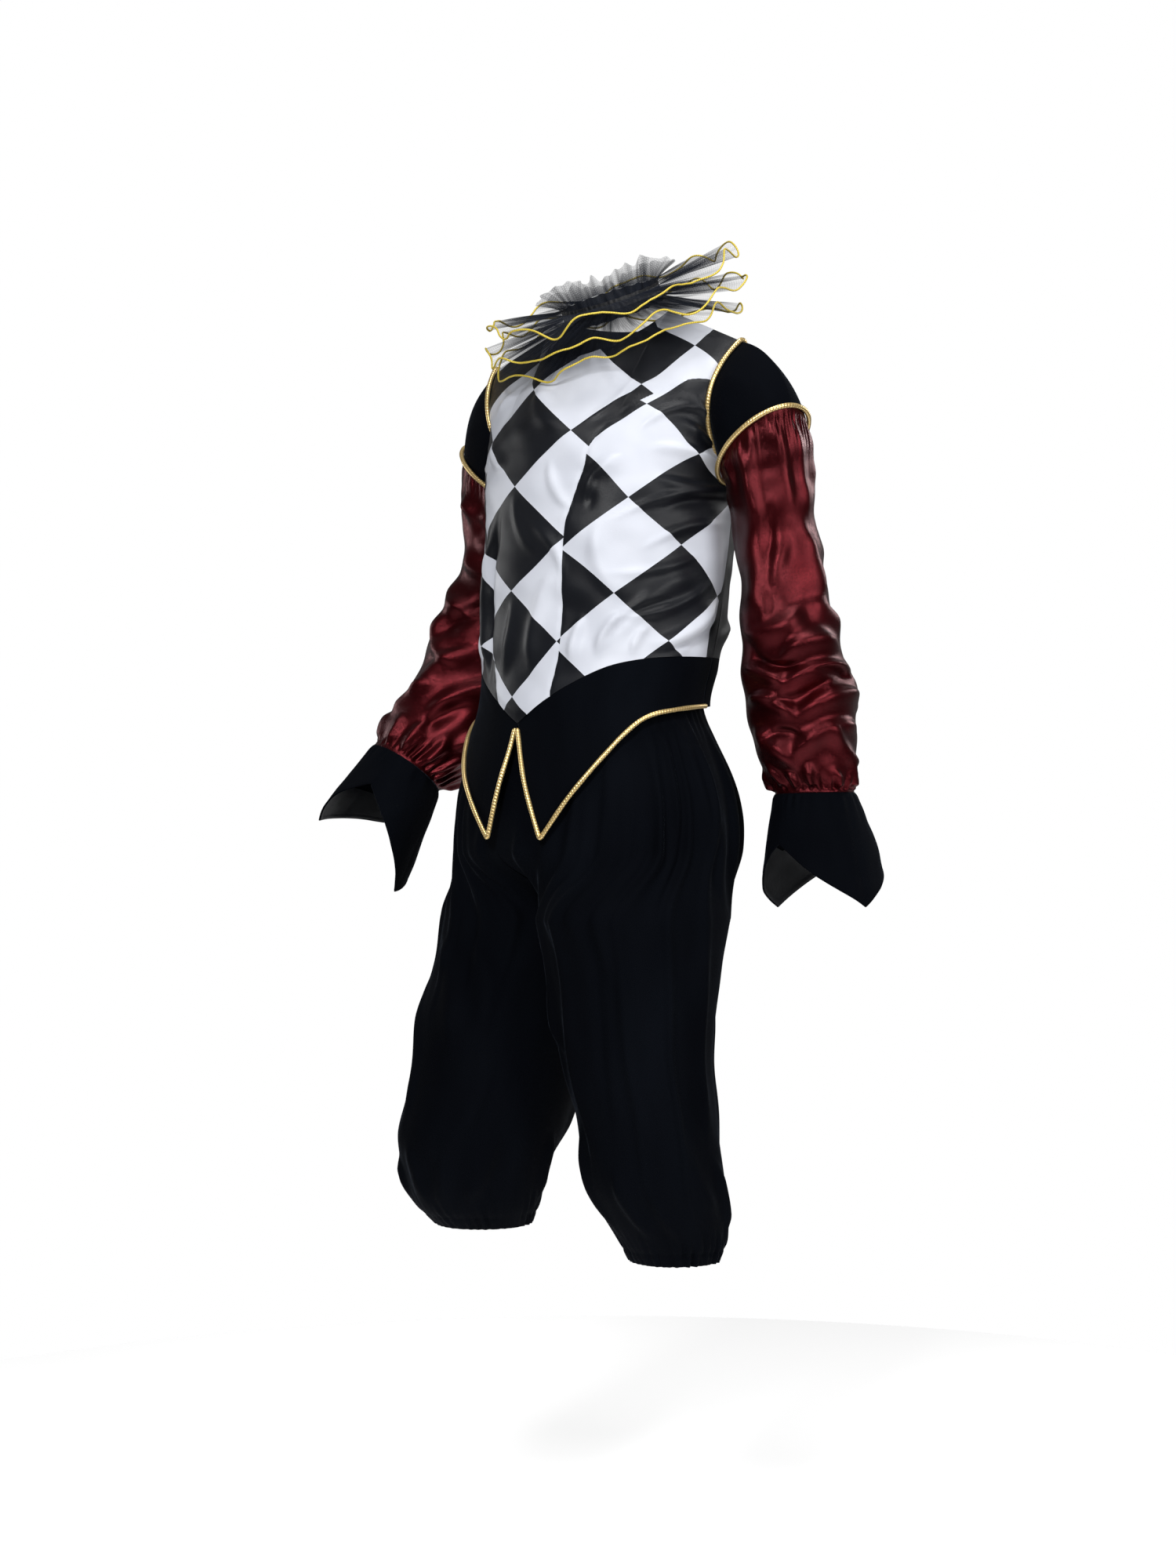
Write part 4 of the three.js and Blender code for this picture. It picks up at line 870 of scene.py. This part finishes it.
# Folds of the legs: round from the inseam or middle front, over the front, in thousandths of the way,
# which are PER_MILLE millimetres each, and down from the waist in millimetres.
PER_MILLE = 0.62
LEG_FOLDS = {"left": [
    [462, 60, 468, 690, 4, 6, 3.4], [395, 60, 372, 640, 6, 8, 2.8], [330, 90, 300, 560, -6, 9, -2.4],
    [272, 70, 235, 600, 5, 9, 2.8], [205, 90, 160, 520, 6, 9, 2.8], [446, 80, 450, 300, 3, 8, -2.2],
    [378, 80, 404, 330, 5, 10, 3], [392, 100, 410, 250, 4, 8, -2], [330, 110, 352, 370, 6, 12, 3],
    [428, 70, 438, 210, 3, 8, 2.4], [492, 60, 540, 230, 8, 12, 3.4], [540, 60, 545, 560, 6, 8, 2.6],
    [530, 60, 600, 280, 10, 14, 3.6], [280, 110, 300, 330, 5, 12, 2.6], [220, 130, 230, 330, 4, 12, 2.4],
    [150, 150, 130, 320, 6, 13, 3], [60, 190, 110, 290, 12, 11, 3.4], [30, 240, 130, 330, 12, 12, 3.6],
    [120, 330, 190, 460, 10, 14, 2.8], [230, 380, 260, 600, 8, 16, 2.4], [400, 380, 396, 600, 6, 16, 2.4],
    [530, 330, 560, 560, 8, 16, 2.8], [470, 560, 540, 660, 8, 13, 3.2], [300, 600, 350, 690, 8, 12, 3.2],
    [380, 620, 420, 694, 5, 10, 3], [180, 560, 220, 680, 8, 13, 3], [560, 590, 600, 690, -6, 12, 3.4],
    [640, 80, 660, 300, 6, 14, 3], [740, 80, 730, 330, 6, 14, 3], [850, 90, 860, 310, 6, 14, 3],
    [950, 230, 860, 340, 12, 12, 3.4], [700, 380, 690, 600, 8, 16, 2.6], [830, 400, 800, 620, 8, 16, 2.6],
    [920, 580, 880, 680, 8, 13, 3], [720, 610, 750, 694, 5, 12, 3.2],
], "right": [
    [60, 180, 100, 290, 10, 11, 3.2], [140, 90, 120, 380, 6, 9, 2.6], [205, 80, 190, 400, -5, 10, -2.2],
    [275, 70, 262, 420, 6, 9, 2.6], [350, 70, 345, 380, 5, 10, 2.4], [110, 130, 90, 270, 6, 12, 2.8],
    [170, 110, 180, 330, 5, 12, 2.8], [240, 90, 250, 300, 5, 11, 2.8], [320, 80, 300, 300, 6, 12, 3],
    [400, 70, 420, 260, 6, 12, 3.2], [480, 60, 500, 260, 6, 12, 3.2], [560, 60, 590, 280, 6, 13, 3.2],
    [200, 330, 120, 440, 12, 14, 3.4], [300, 320, 180, 470, 16, 14, 3.6], [360, 380, 280, 560, 12, 14, 3],
    [100, 480, 160, 590, 10, 14, 3], [60, 560, 130, 655, 10, 12, 3.6], [160, 590, 200, 665, 6, 10, 3.4],
    [250, 580, 240, 668, 6, 12, 3.2], [330, 600, 320, 668, 5, 11, 3.2], [440, 560, 420, 660, 6, 14, 3.2],
    [540, 400, 520, 600, 8, 16, 2.8], [640, 80, 650, 300, 6, 14, 3], [760, 80, 750, 320, 6, 14, 3],
    [860, 90, 850, 300, 6, 14, 3], [940, 230, 850, 340, 12, 12, 3.4], [700, 380, 720, 560, 8, 16, 3.2],
    [850, 480, 820, 600, 10, 14, 3.8], [620, 590, 610, 665, 5, 12, 3.2], [780, 590, 790, 665, 5, 12, 3.2],
    [930, 570, 900, 660, 6, 12, 3.2],
]}


def make_leg(name, leg):
    u, share = np.meshgrid(np.linspace(0, 1, 230), np.linspace(0, 1, 250))
    z = lerp(WAIST_Z, leg["hem"], share)
    down = WAIST_Z - z
    turn = 2 * np.pi * u
    flat = leg_point(leg, u, z)
    waist = 1 - smooth(down, 10, 110)
    gather = 2.0 * waist * around_noise(turn, down / 200, 71, (19, 26, 33))
    spread = 1.2 * smooth(down, 30, 110) * (1 - smooth(down, 150, 330))
    spread = spread * around_noise(turn, down / 400, 72, (7, 11, 15))
    above = z - leg["hem"]
    low = 2.4 * (1 - smooth(above, 14, 62)) * around_noise(turn, above / 16, 73, (27, 35, 44))
    casing = -1.4 * hump(above, 15, 3.0)
    frill = 1.2 * (1 - smooth(above, 0, 12)) * around_noise(turn, 0, 74, (31, 47))
    rows = [[a * PER_MILLE, b, c * PER_MILLE, *rest] for a, b, c, *rest in LEG_FOLDS[name]]
    h = folds(u * 1000 * PER_MILLE, down, rows)
    h = 2.2 * h * smooth(down, 30, 90) * smooth(above, 20, 60)
    h = h + 1.5 * waves(flat, 75, 160) + 0.5 * waves(flat, 76, 60) + gather + spread + low + casing + frill
    h = np.where(down < 90, np.minimum(h, 2.6), h)
    cloth(f"leg_{name}_velvet", f"leg_{name}", leg_point(leg, u, z, h), VELVET)


# The ruff

TIERS = {
    "upper": dict(start=32, edge=30, reach=160, waves=10, height=10, phase=0.4,
                  back=0, aside=0, right=0, fan=15),
    "middle": dict(start=24, edge=2, reach=166, waves=11, height=9, phase=2.1,
                   back=0, aside=4, right=12, fan=5),
    "lower": dict(start=17, edge=-22, reach=158, waves=9, height=8, phase=4.0,
                  back=10, aside=12, right=16, fan=-3),
}


def tier_point(t, turn, share, rise=0.0, out=0.0):
    wobble = t["waves"] * turn + 0.8 * np.sin(2 * turn + t["phase"]) + t["phase"]
    size = 0.7 + 0.3 * np.sin(3 * turn + 2 * t["phase"])
    reach = t["reach"] * (1 + 0.04 * np.sin(3 * turn + t["phase"]) + 0.02 * np.cos(wobble))
    radius = lerp(BAND_RADIUS + 0.8, reach, share) + out
    drop = t["back"] * smooth(-np.cos(turn), 0, 1)
    aside = np.sin(turn)
    lift = t["aside"] * aside**2 + t["right"] * np.maximum(0, -aside) ** 2
    lift = lift + t["fan"] * np.cos(turn - math.radians(TUFT_ANGLE)) ** 4
    level = lerp(t["start"], t["edge"] - drop + lift, share**0.9)
    return ruff_point(turn, radius, level + t["height"] * size * share * np.sin(wobble) + rise)


def make_ruff():
    for number, (name, t) in enumerate(TIERS.items()):
        turn, share = rings(600, 40)
        seed = 80 + 5 * number

        def ripple(turn, share, grow):
            fine = 5.2 * around_noise(turn, share * 2.5, seed, (41, 53, 67, 83), 1.2)
            wide = 2.8 * around_noise(turn, share * 1.5, seed + 1, (13, 17, 22), 1.5)
            return grow * (wide + fine * (1.25 - 1.2 * share))

        def swing(turn):
            return 1.8 * around_noise(turn, 0, seed + 2, (11, 17, 23))

        p = tier_point(t, turn, share, ripple(turn, share, share**0.8), swing(turn) * share)
        cloth(f"ruff_{name}_net", f"ruff_{name}", p, NET, closed=True)
        turn = round_turn(900)
        one = np.ones_like(turn)
        line = tier_point(t, turn, one, ripple(turn, one, one), swing(turn) + 1.1)
        tube(f"ruff_cord_{name}_gold", f"ruff_cord_{name}", line, CORD_RADIUS, CORD, closed=True,
             sides=8, spacing=1.6)
    turn, v = rings(260, 14)
    level = lerp(36, 12, v) + 0.6 * np.sin(turn * 23)
    p = ruff_point(turn, BAND_RADIUS - 0.4 + 0.7 * around_noise(turn, v * 3, 97, (33, 47, 61)), level)
    cloth("ruff_band_ribbon", "ruff_band", p, SATIN_BLACK, closed=True)
    turn, v = rings(420, 26)
    toward = sum(np.maximum(0, np.cos(turn - math.radians(end))) ** 3 for end in FRILL_ENDS)
    pleat = v * (3.5 * around_noise(turn, v * 2, 91, (24, 31, 40)) + 2)
    level = 36.3 + v * (24 + 5 * np.sin(4 * turn + 1) + 4.5 * around_noise(turn, v, 92, (13, 19, 27)))
    p = ruff_point(turn, BAND_RADIUS + pleat + toward * 26 * v**1.5, level - toward * 3 * v)
    cloth("ruff_frill_net", "ruff_frill", p, NET_THICK, closed=True)


# Piping

PIPING_RADIUS, PIPING_OUT = 3.0, 3.2


def armhole_line(arm):
    """Just outside the seam of bodice and cap, all but the fold under the arm."""
    k = np.linspace(11, 28.6, 264) % ARMHOLE
    angle = k / ARMHOLE * 2 * np.pi

    def at(share, lift):
        return on_armhole(k, arm["side"] * share, lift)

    point = at(1.0, 0.0)
    radial = away_from_arm(arm_frame(arm, 0), angle)
    body = unit(np.cross(at(0.97, 0.04) - at(0.97, -0.04), at(0.93, 0.0) - at(0.99, 0.0)))
    body = body * np.sign(((point - np.array([0, 0, -160.0])) * body).sum(axis=-1, keepdims=True))
    over = cap_point(arm, angle, np.full_like(angle, 0.15)) - cap_point(arm, angle, np.zeros_like(angle))
    cap = unit(np.cross(np.gradient(point, axis=0), over))
    cap = cap * np.sign((radial * cap).sum(axis=-1, keepdims=True))
    way = unit(body + cap)
    reach = 1 / np.maximum(0.55, (way * body).sum(axis=-1, keepdims=True))
    return point + way * PIPING_OUT * reach


def make_piping():
    def sewn(node, line, radius=PIPING_RADIUS, closed=False):
        tube(node + "_gold", node, line, radius, PIPING, closed=closed)

    for name, arm in ARMS.items():
        sewn(f"piping_armhole_{name}", armhole_line(arm))
        angle = round_turn(200)
        f = arm_frame(arm, 0)
        sewn(f"piping_cap_{name}", around_arm(f, angle, f["radius"] + PIPING_OUT), closed=True)
    for name, side in (("left", 1), ("right", -1)):
        v, u = np.linspace(0.04, 1, 60), np.linspace(0, 1, 130)[1:]
        line = np.concatenate([flap_point(side, 0 * v, v), flap_point(side, u, 1 + 0 * u)])
        out = line * np.array([1, 1, 0]) - np.array([0, -2.0, 0])
        sewn(f"piping_basque_{name}", line + unit(out) * 2.6, radius=2.9)


# The studio

PHOTO_ANGLE = 51  # the front is turned that far to the left of the picture
FLOOR_Z, CAMERA_DISTANCE = -1.53, 3.5


def put(o, place, way):
    """Puts a lamp or camera at a place, facing along way."""
    o.location = place
    o.rotation_mode = "QUATERNION"
    o.rotation_quaternion = Vector(way).to_track_quat("-Z", "Y")
    bpy.context.collection.objects.link(o)


def make_studio():
    tone = Nodes("pale floor")
    spot = tone.noise(tone.add("ShaderNodeTexCoord").outputs["Object"], 1.5)
    tone.link(tone.mix(spot, (0.86, 0.86, 0.86), (0.9, 0.9, 0.9)), tone.shader.inputs["Base Color"])
    tone.settings(Roughness=0.8, Emission_Color=(1.0, 1.0, 1.0, 1.0), Emission_Strength=0.5)
    bpy.ops.mesh.primitive_circle_add(vertices=96, radius=1.5, fill_type="NGON", location=(0, 0, FLOOR_Z))
    floor = bpy.context.object
    floor.name = "floor"
    floor.data.materials.append(tone.material)
    world = bpy.data.worlds.new("studio")
    bpy.context.scene.world = world
    world.use_nodes = True
    nodes, links = world.node_tree.nodes, world.node_tree.links
    back = nodes["Background"]
    back.inputs["Color"].default_value = (1.0, 1.0, 1.0, 1.0)
    rays, level = nodes.new("ShaderNodeLightPath"), nodes.new("ShaderNodeMapRange")
    level.inputs["To Min"].default_value = 0.13
    level.inputs["To Max"].default_value = 1.0
    links.new(rays.outputs["Is Camera Ray"], level.inputs["Value"])
    links.new(level.outputs[0], back.inputs["Strength"])
    bpy.context.scene.view_settings.view_transform = "Standard"
    view = math.radians(PHOTO_ANGLE)
    back_way = np.array([math.sin(view), -math.cos(view), 0])
    right = np.array([math.cos(view), math.sin(view), 0])
    up = np.array([0, 0, 1.0])
    target = np.array([-0.0189, -0.0233, -0.576])
    lights = [
        ("key", -0.7, 1.3, 2.4, 0.45, 50.0),
        ("fill", 1.6, 0.8, 2.0, 0.9, 34.0),
        ("rim_left", -1.7, 0.5, -1.0, 0.4, 5.0),
        ("rim_right", 1.7, 0.9, -1.0, 0.4, 9.0),
        ("top", 0.1, 2.4, 0.5, 0.7, 30.0),
    ]
    for name, across, high, near, size, power in lights:
        lamp = bpy.data.lights.new(name, "AREA")
        lamp.shape, lamp.size, lamp.size_y = "RECTANGLE", size, size * 1.5
        lamp.energy = power
        o = bpy.data.objects.new(name, lamp)
        place = target + right * across + up * high + back_way * near
        put(o, place, target + up * 0.2 - place)
    camera = bpy.data.cameras.new("camera")
    camera.lens, camera.sensor_width = 64.0, 36.0
    camera.clip_start, camera.clip_end = 0.1, 100.0
    o = bpy.data.objects.new("camera", camera)
    put(o, target + back_way * CAMERA_DISTANCE, -back_way)
    bpy.context.scene.camera = o


# Making it

make_studio()
make_front()
make_back()
for make in (make_cap, make_sleeve, make_cuff):
    for name, arm in ARMS.items():
        make(name, arm)
make_basque()
for name, leg in LEGS.items():
    make_leg(name, leg)
make_ruff()
make_piping()
